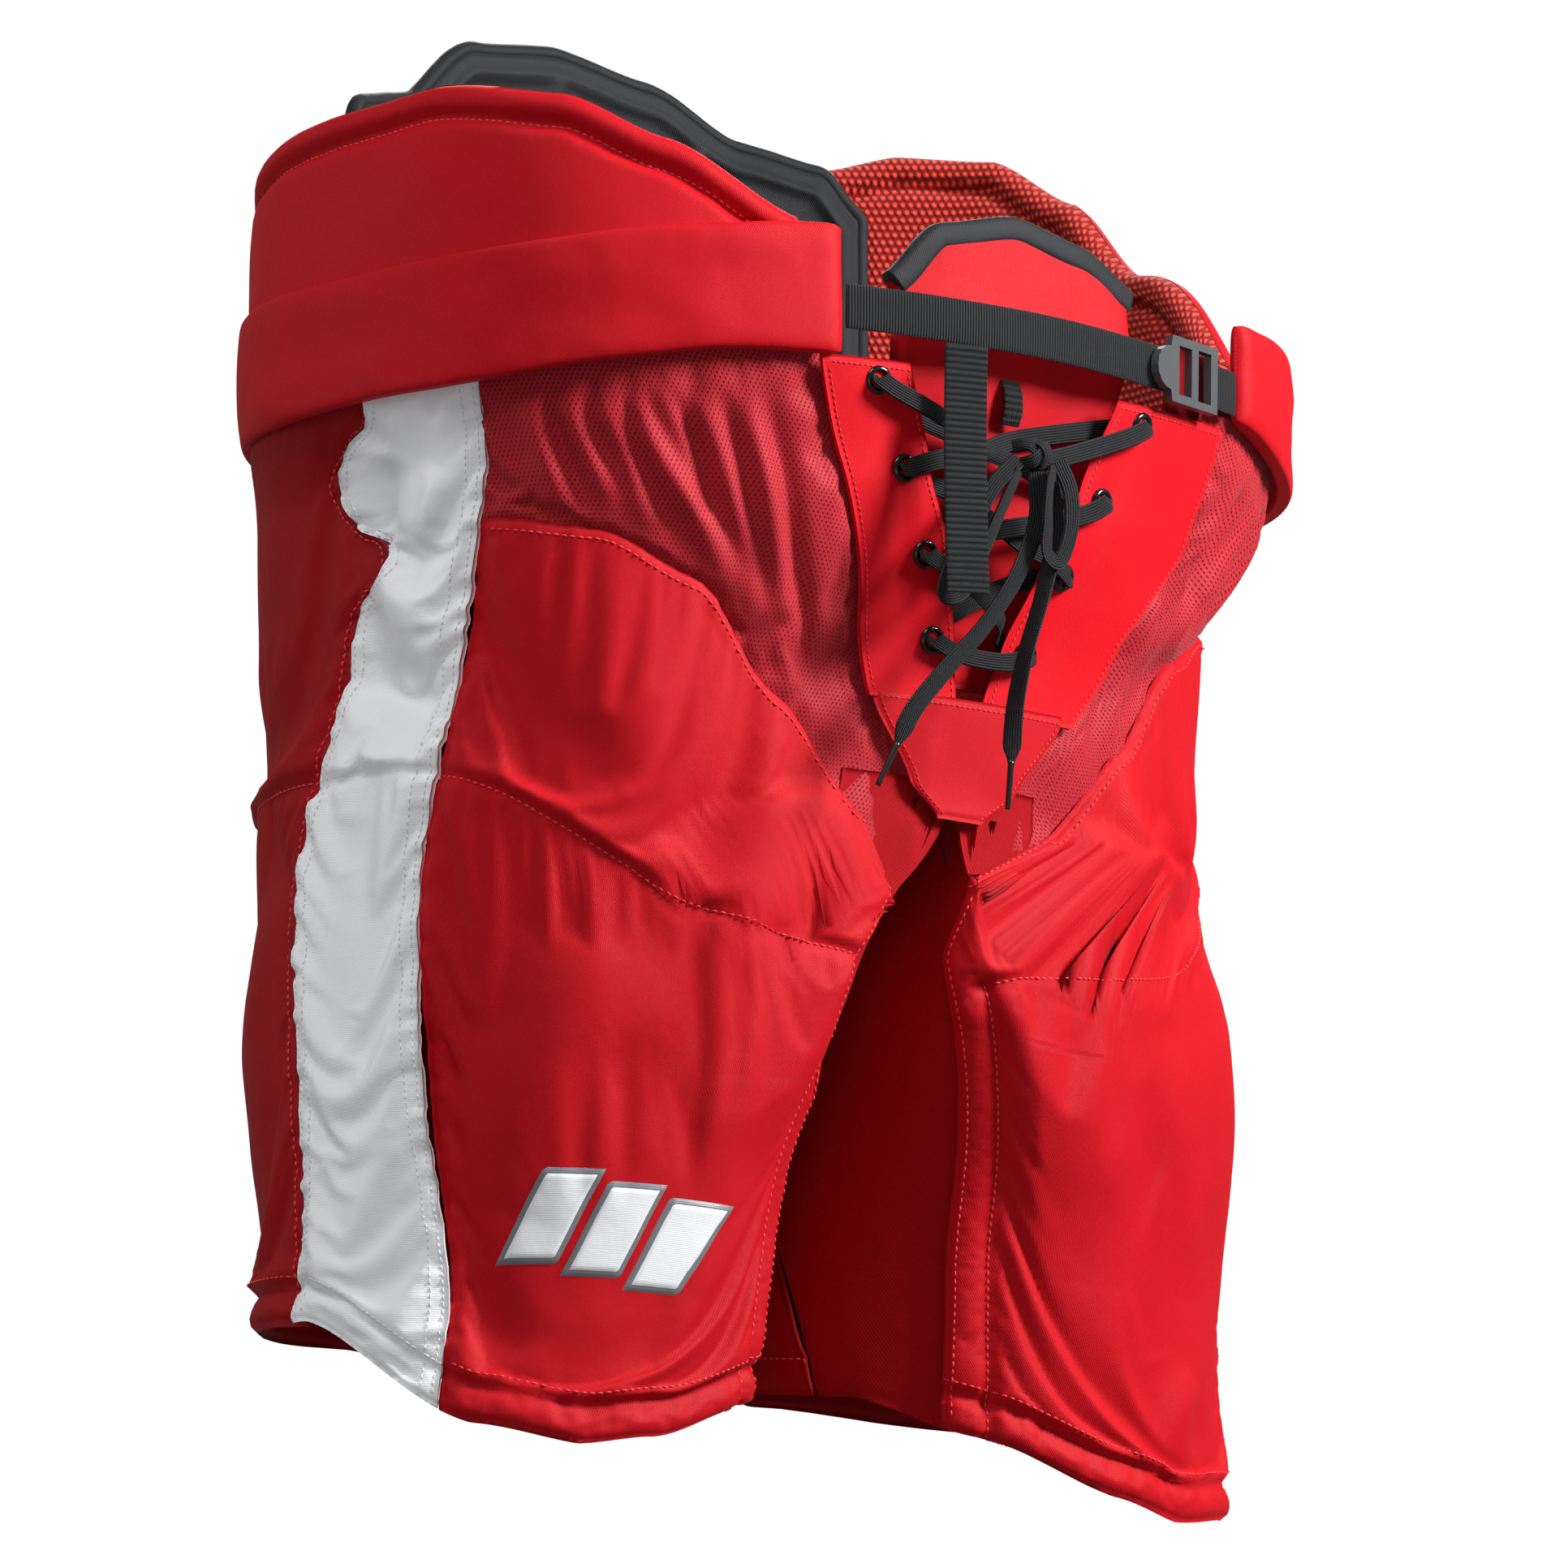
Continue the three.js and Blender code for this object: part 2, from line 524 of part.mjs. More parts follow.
// Free ends, bow and knot, hanging in front of the fly: side, distance forward of the waist, height.
const hung = (x, forward, z) => V(x, -WAIST_FRONT - forward, drop(z));
const KNOT = hung(2, 3, -46);
const knotShape = new THREE.SphereGeometry(7, 10, 8).scale(1, 0.55, 0.8);
add("lace_knot", knotShape.translate(...KNOT.toArray()), blackWebbing);
const LACE_ENDS = {
  right: [hung(2, 6, -54), hung(1, 7, -75), hung(-8, 5, -100), hung(-24, 1, -125), hung(-42, -4, -146),
    hung(-57, -9, -166), hung(-64, -12, -182)],
  left: [hung(9, 5, -53), hung(11, 7, -80), hung(5, 6, -108), hung(-2, 3, -134), hung(-5, -1, -158),
    hung(-5, -4, -184)],
};
const LACE_LOOPS = {
  right: [hung(-6, 3, -49), hung(-20, 3, -62), hung(-32, 2, -82), hung(-44, -1, -106), hung(-45, -2, -114),
    hung(-36, -2, -112), hung(-24, 0, -92), hung(-14, 2, -70), hung(-6, 3, -54)],
  left: [hung(9, 12, -49), hung(15, 13, -62), hung(15, 13, -80), hung(9, 12, -94), hung(3, 12, -92),
    hung(2, 13, -78), hung(3, 13, -62), hung(6, 12, -53)],
};
for (const [name] of SIDES) {
  const end = LACE_ENDS[name];
  add(`${name}_lace_end`, cord(end, LACE_RADIUS, 20), blackWebbing);
  const tip = end[end.length - 1];
  const down = tip.clone().sub(end[end.length - 2]).normalize();
  const aglet = [tip.clone().addScaledVector(down, CLEAR), tip.clone().addScaledVector(down, 20)];
  add(`${name}_aglet`, cord(aglet, 1.3, 1), blackPlastic);
  add(`${name}_bow_loop`, cord(LACE_LOOPS[name], LACE_RADIUS, 24), blackWebbing);
}

// ---------- Waist strap, buckle and hanging tail ----------
const strapHeight = (a) => along([[-36, 4], [-25, 5], [0, 8], [24, 9]], a);
const STRAP_OUT = 2.4;
function strapStation(a, offset) {
  const z = strapHeight(a);
  const { point, normal } = lifted(ring, a, z, offset);
  const flat = normal.clone().setZ(0).normalize();
  return { at: point, across: V(0, 0, 1), out: flat };
}
const spread = (from, to, n) => Array.from({ length: n + 1 }, (_, i) => lerp(from, to, i / n));
const BUCKLE = { from: -angleAt(84, 0), to: -angleAt(118, 0) };
const roundWaist = (from, to, n) =>
  strap(spread(from, to, n).map((a) => strapStation(a, STRAP_OUT)), WEBBING_WIDTH, WEBBING);
add("waist_strap", roundWaist(BELT_ENDS.right - SEAM, BUCKLE.from, 10), blackWebbing);
add("anchor_strap", roundWaist(BUCKLE.to - 0.6, -BELT_ENDS.left + SEAM, 3), blackWebbing);

// Ladder-lock buckle: a frame with two slots and a round thumb tab.
{
  const a0 = strapStation(BUCKLE.from, STRAP_OUT).at;
  const a1 = strapStation(BUCKLE.to, STRAP_OUT).at;
  const width = a0.distanceTo(a1) - 2 * CLEAR;
  const height = WEBBING_WIDTH + 10;
  const bar = 5;
  const tab = spread(90, 270, 8).map((d) =>
    new THREE.Vector2(-width / 2 - 1 + (height / 3) * Math.cos(rad(d)), (height / 3) * Math.sin(rad(d))));
  const corner = (x, y) => new THREE.Vector2((x * width) / 2, (y * height) / 2);
  const frame = new THREE.Shape([corner(-1, -1), corner(1, -1), corner(1, 1), corner(-1, 1), ...tab]);
  const slotWidth = (width - 3 * bar) / 2;
  for (const k of [0, 1]) {
    const x = -width / 2 + bar + k * (slotWidth + bar);
    const h = WEBBING_WIDTH / 2 + 1 + 0.5 * k;
    frame.holes.push(new THREE.Path([[x, -h], [x, h], [x + slotWidth, h], [x + slotWidth, -h]]
      .map((p) => new THREE.Vector2(...p))));
  }
  const thick = 4;
  const body = new THREE.ExtrudeGeometry(frame, { depth: thick, bevelEnabled: false, curveSegments: 8 });
  body.translate(0, 0, 1.5);
  const buckle = add("buckle", body, blackPlastic);
  const along3 = a1.clone().sub(a0).normalize();
  const up = V(0, 0, 1).addScaledVector(along3, -along3.z).normalize();
  const out = new THREE.Vector3().crossVectors(along3, up);
  buckle.quaternion.setFromRotationMatrix(new THREE.Matrix4().makeBasis(along3, up, out));
  buckle.position.copy(a0.clone().add(a1).multiplyScalar(0.5));
}

// The free end of the belt, folded over the strap and hanging down.
const TAIL = { x: -42, forward: 10, top: -4, low: -114, turn: 20 };
{
  const across = V(Math.cos(rad(TAIL.turn)), -Math.sin(rad(TAIL.turn)), 0);
  const out = V(-Math.sin(rad(TAIL.turn)), -Math.cos(rad(TAIL.turn)), 0);
  const stations = spread(TAIL.top, TAIL.low, 6).map((z) => ({
    at: V(TAIL.x, -WAIST_FRONT - TAIL.forward, z), across, out,
  }));
  add("strap_tail", strap(stations, WEBBING_WIDTH, WEBBING), blackWebbing);
}

export default pants;
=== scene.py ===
# Ice hockey pants: the looks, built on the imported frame. Shapes are worked out in millimetres.
import math
import random

import bmesh
import bpy
import numpy as np
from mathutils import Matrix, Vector
from mathutils.bvhtree import BVHTree


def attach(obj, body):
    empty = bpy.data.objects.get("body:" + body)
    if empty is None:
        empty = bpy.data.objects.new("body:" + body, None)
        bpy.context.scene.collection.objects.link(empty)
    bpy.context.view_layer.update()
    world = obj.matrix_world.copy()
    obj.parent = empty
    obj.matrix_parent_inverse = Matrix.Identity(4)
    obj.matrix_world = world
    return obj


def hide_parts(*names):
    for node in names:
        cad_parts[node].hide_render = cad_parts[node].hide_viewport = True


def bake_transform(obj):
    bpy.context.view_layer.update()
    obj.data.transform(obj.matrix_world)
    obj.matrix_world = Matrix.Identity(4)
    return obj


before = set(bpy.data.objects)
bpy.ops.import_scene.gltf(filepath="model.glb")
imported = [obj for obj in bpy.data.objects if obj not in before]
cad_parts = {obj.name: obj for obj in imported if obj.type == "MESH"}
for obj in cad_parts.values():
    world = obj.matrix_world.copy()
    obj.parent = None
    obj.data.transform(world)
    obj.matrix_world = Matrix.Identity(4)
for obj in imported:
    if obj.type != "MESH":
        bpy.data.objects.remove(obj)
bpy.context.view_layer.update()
random.seed(7)
rng = np.random.default_rng(7)
DETAIL = 1.0

# ---------- The same driving sizes as the frame ----------
WAIST_HALF_WIDTH, WAIST_FRONT, WAIST_BACK = 240, 184, 172
LEG_LENGTH, CROTCH_DROP = 490, 215
LEG_HALF_WIDTH, LEG_HALF_DEPTH, LEG_GAP = 120, 103, 10
HEM_RISE_SIDE, HEM_RISE_BACK, HEM_RISE_INNER = 58, 72, 45
BELT_WIDTH = 58
SPINE_RISE = 192
WEBBING_WIDTH = 20
RIGHT, LEFT, WHOLE = 1, -1, 0
LEAN = 14
MM_PER_DEGREE = 2.6
HEM_BAND = 16
LEG_LINING_START, LEG_LINING_END = -37.0, 320.0
# Thickness of the cloth or padding of each panel, and the pitch of its grid.
THICK = {"thigh": 7.0, "stripe": 3.0, "rear": 6.0, "inner": 2.4, "gusset": 2.0, "apron": 1.6, "vent": 1.5,
         "seat": 4.0, "facing": 2.6, "shield": 2.5, "tongue": 7.0, "spine": 9.0, "lining": 1.5, "crotch": 2.2}
GRID = {"thigh": 2.6, "stripe": 2.2, "rear": 3.2, "inner": 4.0, "gusset": 4.0, "apron": 2.4, "vent": 2.4,
        "seat": 3.5, "facing": 1.8, "shield": 2.0, "tongue": 2.4, "spine": 2.4, "kidney": 2.2, "lining": 7.0}
# How deep the tongue, the spine pad and the linings lie under the outer surface.
TONGUE_DEPTH, SPINE_DEPTH, LEG_LINING_DEPTH, HIP_LINING_DEPTH = 15, 25, 17, 21
SIDES = [("right", RIGHT), ("left", LEFT)]


def ease(a, b, x):
    t = np.clip((x - a) / (b - a), 0, 1)
    return t * t * (3 - 2 * t)


def along(stations, x):
    x = np.asarray(x, float)
    xs = [s[0] for s in stations]
    out = np.full(x.shape, float(stations[0][1]))
    for (x0, y0), (x1, y1) in zip(stations, stations[1:]):
        t = np.clip((x - x0) / (x1 - x0), 0, 1)
        v = y0 + (y1 - y0) * (0.5 * t * t * (3 - 2 * t) + 0.5 * t)
        out = np.where(x > x0, v, out)
    return np.where(x >= xs[-1], stations[-1][1], out)


crotch_top = -CROTCH_DROP + 25
leg_top = -CROTCH_DROP - 150
hem_low = -LEG_LENGTH


def half_width(z):
    w = WAIST_HALF_WIDTH
    return along([[leg_top, w + 2], [-205, w - 9], [-130, w - 19], [-60, w - 15], [-10, w]], z)


def ring_xy(a, z):
    """The ring of waist and hips at an angle and height."""
    s, c = np.sin(np.radians(a)), np.cos(np.radians(a))
    f, b = WAIST_FRONT, WAIST_BACK
    front = along([[leg_top, f - 54], [-195, f - 43], [-150, f - 36], [-60, f - 11], [0, f]], z)
    back = along([[leg_top, b - 16], [-190, b - 2], [-80, b + 3], [0, b]], z)
    y = np.where(c > 0, -front * np.abs(c) ** 0.65, back * np.abs(c) ** 0.8)
    return -half_width(z) * s, y


def squared(t, p):
    return np.sign(t) * np.abs(t) ** p


def leaned(p):
    """The limp legs lean to the wearer's right between the crotch and the hems."""
    x, z = p[..., 0], p[..., 2]
    w = np.clip(1 - (x / 225) ** 2, 0, 1) ** 2 * (1 - ease(-275, -185, z))
    return p - LEAN * w[..., None] * (1, 0, 0)


def surf(side, a, z):
    """The outer surface: angle 0 front, 90 outer side, 180 back, 270 inner side; WHOLE has no legs."""
    a, z = np.broadcast_arrays(np.asarray(a, float), np.asarray(z, float))
    s, c = np.sin(np.radians(a)), np.cos(np.radians(a))
    hx, hy = ring_xy(a, z)
    if side == WHOLE:
        return leaned(np.stack([hx, hy, z], -1))
    share = 1 - ease(leg_top, crotch_top, z)
    hw = along([[-LEG_LENGTH, LEG_HALF_WIDTH], [leg_top, LEG_HALF_WIDTH - 3]], z)
    centre = hw + along([[-LEG_LENGTH, LEG_GAP], [leg_top, LEG_GAP - 4]], z)
    depth = along([[-LEG_LENGTH, LEG_HALF_DEPTH], [-LEG_LENGTH + 100, LEG_HALF_DEPTH + 13],
                   [-LEG_LENGTH + 220, LEG_HALF_DEPTH + 45]], z)
    forward = along([[-LEG_LENGTH, 8], [-LEG_LENGTH + 220, 10]], z)
    rnd = np.where(s > 0, 1, along([[-LEG_LENGTH, 1], [-300, 0.7], [-230, 0.6]], z))
    lx = -centre - hw * squared(s, rnd)
    ly = forward - depth * squared(c, rnd)
    hx = np.where(s > 0, hx, np.where(share > 0, -4.0, hx))
    x = hx + (lx - hx) * share
    y = hy + (ly - hy) * share
    if side == LEFT:
        slump = 0.085 * np.exp(-((a - 62) / 30) ** 2) * (1 - ease(-95, -30, z)) * ease(-265, -200, z)
        x, y = x * (1 - slump), y * (1 - slump)
    return leaned(np.stack([side * x, y, z], -1))


def normal(side, a, z):
    du = surf(side, a + 0.5, z) - surf(side, a - 0.5, z)
    dv = surf(side, a, z + 2) - surf(side, a, z - 2)
    n = np.cross(dv, du) * (side or 1)
    return n / np.maximum(np.linalg.norm(n, axis=-1, keepdims=True), 1e-9)


# ---------- Panel borders, as on the frame ----------
def hem(a):
    a = np.mod(a, 360)
    r = along([[0, 6], [20, 0], [45, 8], [90, HEM_RISE_SIDE], [180, HEM_RISE_BACK],
               [240, HEM_RISE_INNER + 12], [300, HEM_RISE_INNER], [330, HEM_RISE_INNER * 0.6], [360, 6]], a)
    return hem_low + r


def hem_row(angles, up=HEM_BAND):
    """(angle, height) stations a given height above the hem."""
    return [(a, float(hem(a)) + up) for a in angles]


def front_edge(z, side=LEFT):
    if side == RIGHT:
        return along([[hem_low, -38], [-330, -31], [-262, -6], [-205, 12]], z)
    return along([[hem_low, -38], [-260, -34], [-205, 2]], z)


def stripe_front(z):
    return along([[hem_low + 55, 53], [-230, 78], [-130, 76], [-30, 73]], z)


def stripe_back(z):
    bulge = 4 * np.exp(-((z + 58) / 16) ** 2) - 2.5 * np.exp(-((z + 98) / 15) ** 2)
    return along([[hem_low + 55, 95], [-230, 98], [-130, 92], [-30, 88.5]], z) + bulge


def inner_seam(z):
    return along([[hem_low, 298], [-270, 262]], z)


LEG_FRONT_TOP = -CROTCH_DROP - 10
LEG_TOP_INSIDE = -198.0


def thigh_top(a):
    return along([[8, LEG_FRONT_TOP], [13, -204], [27, -158], [40, -111], [55, -91], [75, -84]], a)


def angle_at(x, z):
    """The angle of a point this far from the middle."""
    return np.degrees(np.arcsin(np.clip(x / half_width(z), -1, 1)))


def belt_lift(a):
    return 16 * (1 - ease(24, 80, np.abs(a)))


# ---------- Noise and folds ----------
def vnoise(p, scale, seed=0):
    """Smooth noise from -1 to 1 at points p (mm)."""
    q = np.asarray(p, float) / scale + 100.0
    i = np.floor(q).astype(np.int64)
    f = q - i
    f = f * f * (3 - 2 * f)

    def h(d):
        n = (i[..., 0] + d[0]) * 73856093 ^ (i[..., 1] + d[1]) * 19349663 ^ (i[..., 2] + d[2]) * 83492791
        n = (n ^ (seed * 2654435761)) & 0xFFFFFFFF
        n = ((n ^ (n >> 13)) * 1274126177) & 0xFFFFFFFF
        n = ((n ^ (n >> 16)) * 2246822519) & 0xFFFFFFFF
        return (n & 0xFFFF) / 32767.5 - 1

    out = 0
    for d in [(x, y, z) for x in (0, 1) for y in (0, 1) for z in (0, 1)]:
        w = np.prod([f[..., k] if d[k] else 1 - f[..., k] for k in range(3)], axis=0)
        out = out + w * h(d)
    return out


def fbm(p, scale, seed=0, octaves=3):
    return sum(vnoise(p, scale / 2 ** k, seed + k) * 0.5 ** k for k in range(octaves))


def polyline(side, pts, n=40):
    """Points on the surface through (angle, height) stations."""
    pts = np.array(pts, float)
    t = np.linspace(0, len(pts) - 1, n)
    i = np.minimum(t.astype(int), len(pts) - 2)
    f = (t - i)[:, None]
    p0, p1 = pts[np.maximum(i - 1, 0)], pts[i]
    p2, p3 = pts[i + 1], pts[np.minimum(i + 2, len(pts) - 1)]
    q = 0.5 * ((2 * p1) + (p2 - p0) * f + (2 * p0 - 5 * p1 + 4 * p2 - p3) * f ** 2
               + (3 * p1 - p0 - 3 * p2 + p3) * f ** 3)
    return surf(side, q[:, 0], q[:, 1]), q


def nearest(points, line):
    """Distance to a polyline's points and the nearest one's place along it."""
    shape = points.shape[:-1]
    p = points.reshape(-1, 3)
    best = np.full(len(p), 1e9)
    where = np.zeros(len(p))
    for k in range(len(line) - 1):
        a, b = line[k], line[k + 1]
        d = b - a
        t = np.clip(((p - a) @ d) / max(d @ d, 1e-9), 0, 1)
        dist = np.linalg.norm(p - a - t[:, None] * d, axis=1)
        m = dist < best
        best[m] = dist[m]
        where[m] = (k + t[m]) / (len(line) - 1)
    return best.reshape(shape), where.reshape(shape)


def fold(points, side, pts, width, depth, sharp=2.0):
    """A soft ridge (depth > 0) or valley along a line that fades at both ends."""
    line, _ = polyline(side, pts, 24)
    d, t = nearest(points, line)
    return depth * np.exp(-(d / width) ** sharp) * np.sin(np.pi * np.clip(t, 0.02, 0.98)) ** 0.7


def folds(points, side, table):
    return sum(fold(points, side, *row) for row in table)


# ---------- Meshes ----------
def mesh_object(name, verts_mm, faces, uvs=None, smooth=True, material=None):
    me = bpy.data.meshes.new(name)
    me.from_pydata((np.asarray(verts_mm) * 0.001).tolist(), [], faces)
    if uvs is not None:
        layer = me.uv_layers.new(name="UVMap")
        idx = np.empty(len(me.loops), np.int32)
        me.loops.foreach_get("vertex_index", idx)
        layer.data.foreach_set("uv", np.asarray(uvs, np.float32)[idx].ravel())
    me.validate()
    if smooth:
        me.shade_smooth()
    ob = bpy.data.objects.new(name, me)
    bpy.context.scene.collection.objects.link(ob)
    if material:
        me.materials.append(material)
    return ob


def grid_faces(rows, cols, base=0, flip=False):
    r, c = np.meshgrid(np.arange(rows - 1), np.arange(cols - 1), indexing="ij")
    a = (base + r * cols + c).ravel()
    f = np.stack([a, a + 1, a + cols + 1, a + cols], -1)
    return f[:, ::-1] if flip else f


def closed_faces(rows, cols, flip):
    """A front grid, a back grid behind it, and the wall between their borders."""
    n = rows * cols
    rim = np.concatenate([np.arange(cols), np.arange(1, rows) * cols + cols - 1,
                          (rows - 1) * cols + np.arange(cols - 2, -1, -1), np.arange(rows - 2, 0, -1) * cols])
    nxt = np.roll(rim, -1)
    wall = np.stack([rim, nxt, nxt + n, rim + n], -1)
    return np.concatenate([grid_faces(rows, cols, 0, flip), grid_faces(rows, cols, n, not flip),
                           wall[:, ::-1] if flip else wall])


def tube_faces(rings, sec, flip=False):
    """The wall and the two end caps of a tube of rings."""
    faces = []
    for i in range(rings - 1):
        for k in range(sec):
            a, b = i * sec + k, i * sec + (k + 1) % sec
            faces.append((a, a + sec, b + sec, b) if flip else (a, b, b + sec, a + sec))
    first, last = tuple(range(sec)), tuple((rings - 1) * sec + k for k in range(sec))
    return faces + ([first, last[::-1]] if flip else [first[::-1], last])


class Patch:
    """A panel between two border angles and two border heights, as a fine grid on the surface."""

    def __init__(self, side, a0, a1, z0, z1, step=3.0):
        f = [v if callable(v) else (lambda x, v=v: np.full(np.shape(x), float(v))) for v in (a0, a1, z0, z1)]
        self.side = side
        am = float((f[0](-100.0) + f[1](-100.0)) / 2)
        height = abs(float(f[3](am)) - float(f[2](am)))
        left, right = float(f[0](-100.0)), float(f[1](-100.0))
        width = max(np.linalg.norm(surf(side, left, -100.0) - surf(side, right, -100.0)),
                    abs(left - right) * MM_PER_DEGREE)
        nu = max(6, int(width / step * DETAIL))
        nv = max(6, int(height / step * DETAIL))
        u, v = np.meshgrid(np.linspace(0, 1, nu + 1), np.linspace(0, 1, nv + 1))
        A = np.full(u.shape, am)
        for _ in range(12):
            Z = f[2](A) + (f[3](A) - f[2](A)) * v
            A = f[0](Z) + (f[1](Z) - f[0](Z)) * u
        self.A, self.Z, self.u, self.v = A, Z, u, v
        self.P = surf(side, A, Z)
        self.N = normal(side, A, Z)
        seg = np.linalg.norm(np.diff(self.P, axis=1), axis=-1)
        s = np.concatenate([np.zeros((nv + 1, 1)), np.cumsum(seg, 1)], 1)
        seg = np.linalg.norm(np.diff(self.P, axis=0), axis=-1)
        t = np.concatenate([np.zeros((1, nu + 1)), np.cumsum(seg, 0)], 0)
        self.S = s - s[:, [nu // 2]]
        self.T = t - t[[0]] + self.P[0, :, 2][None]
        lines = {"a0": self.P[:, 0], "a1": self.P[:, -1], "z0": self.P[0], "z1": self.P[-1]}
        self.d = {k: nearest(self.P, l[:: max(1, len(l) // 60)])[0] for k, l in lines.items()}
        for k, sl in {"a0": np.s_[:, 0], "a1": np.s_[:, -1], "z0": np.s_[0], "z1": np.s_[-1]}.items():
            self.d[k][sl] = 0
        self.h = np.zeros(u.shape)
        self.shift = np.zeros(self.P.shape)

    def seam(self, key, depth=1.4, reach=5.0):
        """The panel sinks into the seam along this border."""
        self.h -= depth * np.exp(-(self.d[key] / reach) ** 1.3)
        return self

    def pucker(self, key, amount=0.6, wave=9.0, reach=7.0, seed=1):
        along_edge = self.T if key in ("a0", "a1") else self.S
        n = vnoise(np.stack([along_edge, self.d[key] * 0.3, along_edge * 0], -1), wave * 0.6, seed)
        self.h += amount * n * np.exp(-(self.d[key] / reach) ** 2)
        return self

    def relax(self, pinned, pressure=2.5, slack=0.03, frames=16, cap=7.0):
        """Cloth simulation between the pinned lines; the result is kept as a small shift of the face."""
        start = self.P + self.N * self.h[..., None]
        rows, cols = self.u.shape
        ob = mesh_object("cloth_work", start.reshape(-1, 3),
                         grid_faces(rows, cols, 0, self.side >= 0).tolist())
        group = ob.vertex_groups.new(name="pin")
        for i, w in enumerate(np.clip(pinned, 0, 1).ravel().tolist()):
            if w > 0.01:
                group.add([i], w, "REPLACE")
        mod = ob.modifiers.new("cloth", "CLOTH")
        st = mod.settings
        st.quality, st.mass = 5, 0.3
        st.tension_stiffness = st.compression_stiffness = 12
        st.shear_stiffness, st.bending_stiffness = 6, 2.5
        st.use_pressure, st.uniform_pressure_force = True, pressure
        st.shrink_min = st.shrink_max = -slack
        st.vertex_group_mass = "pin"
        st.effector_weights.gravity = 0.3
        mod.collision_settings.use_collision = False
        mod.collision_settings.use_self_collision = False
        mod.point_cache.frame_start, mod.point_cache.frame_end = 1, frames
        for frame_number in range(1, frames + 1):
            scene.frame_set(frame_number)
        shown = ob.evaluated_get(bpy.context.evaluated_depsgraph_get())
        me = shown.to_mesh()
        co = np.empty(len(me.vertices) * 3, np.float32)
        me.vertices.foreach_get("co", co)
        shown.to_mesh_clear()
        bpy.data.objects.remove(ob, do_unlink=True)
        scene.frame_set(1)
        shift = co.reshape(rows, cols, 3).astype(float) * 1000 - start
        size = np.linalg.norm(shift, axis=-1, keepdims=True)
        self.shift = shift * np.minimum(1, cap / np.maximum(size, 1e-6))

    def seam_pins(self, *paths, width=3.0):
        """1 on the border and along the sewn lines, 0 between them."""
        pin = np.exp(-(np.minimum.reduce([self.d["a0"], self.d["a1"], self.d["z1"], self.d["z0"]]) / 4) ** 2)
        for path in paths:
            line, _ = polyline(self.side, path, 60)
            pin = np.maximum(pin, np.exp(-(nearest(self.P, line)[0] / width) ** 2))
        return pin

    def flat_size(self):
        """Width, length and area in metres of the cut panel."""
        quads = self.P
        e1, e2 = quads[1:, :-1] - quads[:-1, :-1], quads[:-1, 1:] - quads[:-1, :-1]
        area = np.linalg.norm(np.cross(e1, e2), axis=-1).sum() * 1e-6
        across = np.linalg.norm(np.diff(quads[..., :2], axis=1), axis=-1).sum(1).max()
        width, length = float(across) * 0.001, float(np.ptp(self.T)) * 0.001
        return (width, length), float(area)

    def object(self, name, material, thick=2.5, free=(), radius=2.0, offset=0.0, uv_scale=1.0):
        """Closed mesh: the outer face, and an inner face thick behind it, rounded at the free borders."""
        f = np.ones(self.u.shape)
        for k in free:
            t = 1 - np.clip(self.d[k] / radius, 0, 1)
            f = np.minimum(f, np.sqrt(np.clip(1 - t * t, 0, 1)))
        mid = self.h + offset - thick / 2
        outer = self.P + self.shift + self.N * (mid + thick / 2 * f)[..., None]
        inner = self.P + self.shift + self.N * (mid - thick / 2 * f - 0.15)[..., None]
        rows, cols = self.u.shape
        faces = closed_faces(rows, cols, self.side >= 0)
        uv = np.stack([self.S, self.T], -1).reshape(-1, 2) * 0.001 * uv_scale
        self.outer = outer
        ob = mesh_object(name, np.concatenate([outer.reshape(-1, 3), inner.reshape(-1, 3)]),
                         faces.tolist(), np.concatenate([uv, uv]), material=material)
        self.tree = BVHTree.FromPolygons(outer.reshape(-1, 3).tolist(),
                                         grid_faces(rows, cols, 0, self.side >= 0).tolist())
        return ob

    def drop(self, a, z, lift=0.0):
        """The point of the finished outer face over an angle and height (mm)."""
        p, n = surf(self.side, a, z), normal(self.side, a, z)
        hit = self.tree.ray_cast(Vector(p + n * 25), Vector(-n), 60)
        if hit[0] is None:
            hit = self.tree.find_nearest(Vector(p))
        return np.array(hit[0]) + n * lift, n


def applique(name, patch, a_mid, a_half, z_mid, z_half, slant, grow, lift, material):
    """An embroidered slanted bar on a finished panel; grow (mm) widens it all round."""
    deg = 0.49
    verts, uv = [], []
    n, m = 17, 25
    for i in range(m):
        for j in range(n):
            v, u = 2 * i / (m - 1) - 1, 2 * j / (n - 1) - 1
            z = z_mid + v * (z_half + grow)
            a = a_mid + u * (a_half + grow * deg) - slant * (z - z_mid)
            edge = min((1 - abs(u)) * (a_half / deg), (1 - abs(v)) * z_half)
            dome = 1.1 * math.sqrt(max(0.0, 1 - (1 - min(edge / 2.2, 1)) ** 2)) - 0.5
            verts.append(patch.drop(a, z, lift + dome)[0])
            uv.append((u * a_half / deg * 0.001, v * z_half * 0.001))
    return mesh_object(name, verts, grid_faces(m, n, 0, True).tolist(), uv, material=material)


def resample(points, pitch):
    points = np.asarray(points, float)
    seg = np.linalg.norm(np.diff(points, axis=0), axis=1)
    s = np.concatenate([[0], np.cumsum(seg)])
    n = max(2, int(s[-1] / pitch))
    t = np.linspace(0, s[-1], n + 1)
    return np.stack([np.interp(t, s, points[:, k]) for k in range(points.shape[1])], -1)


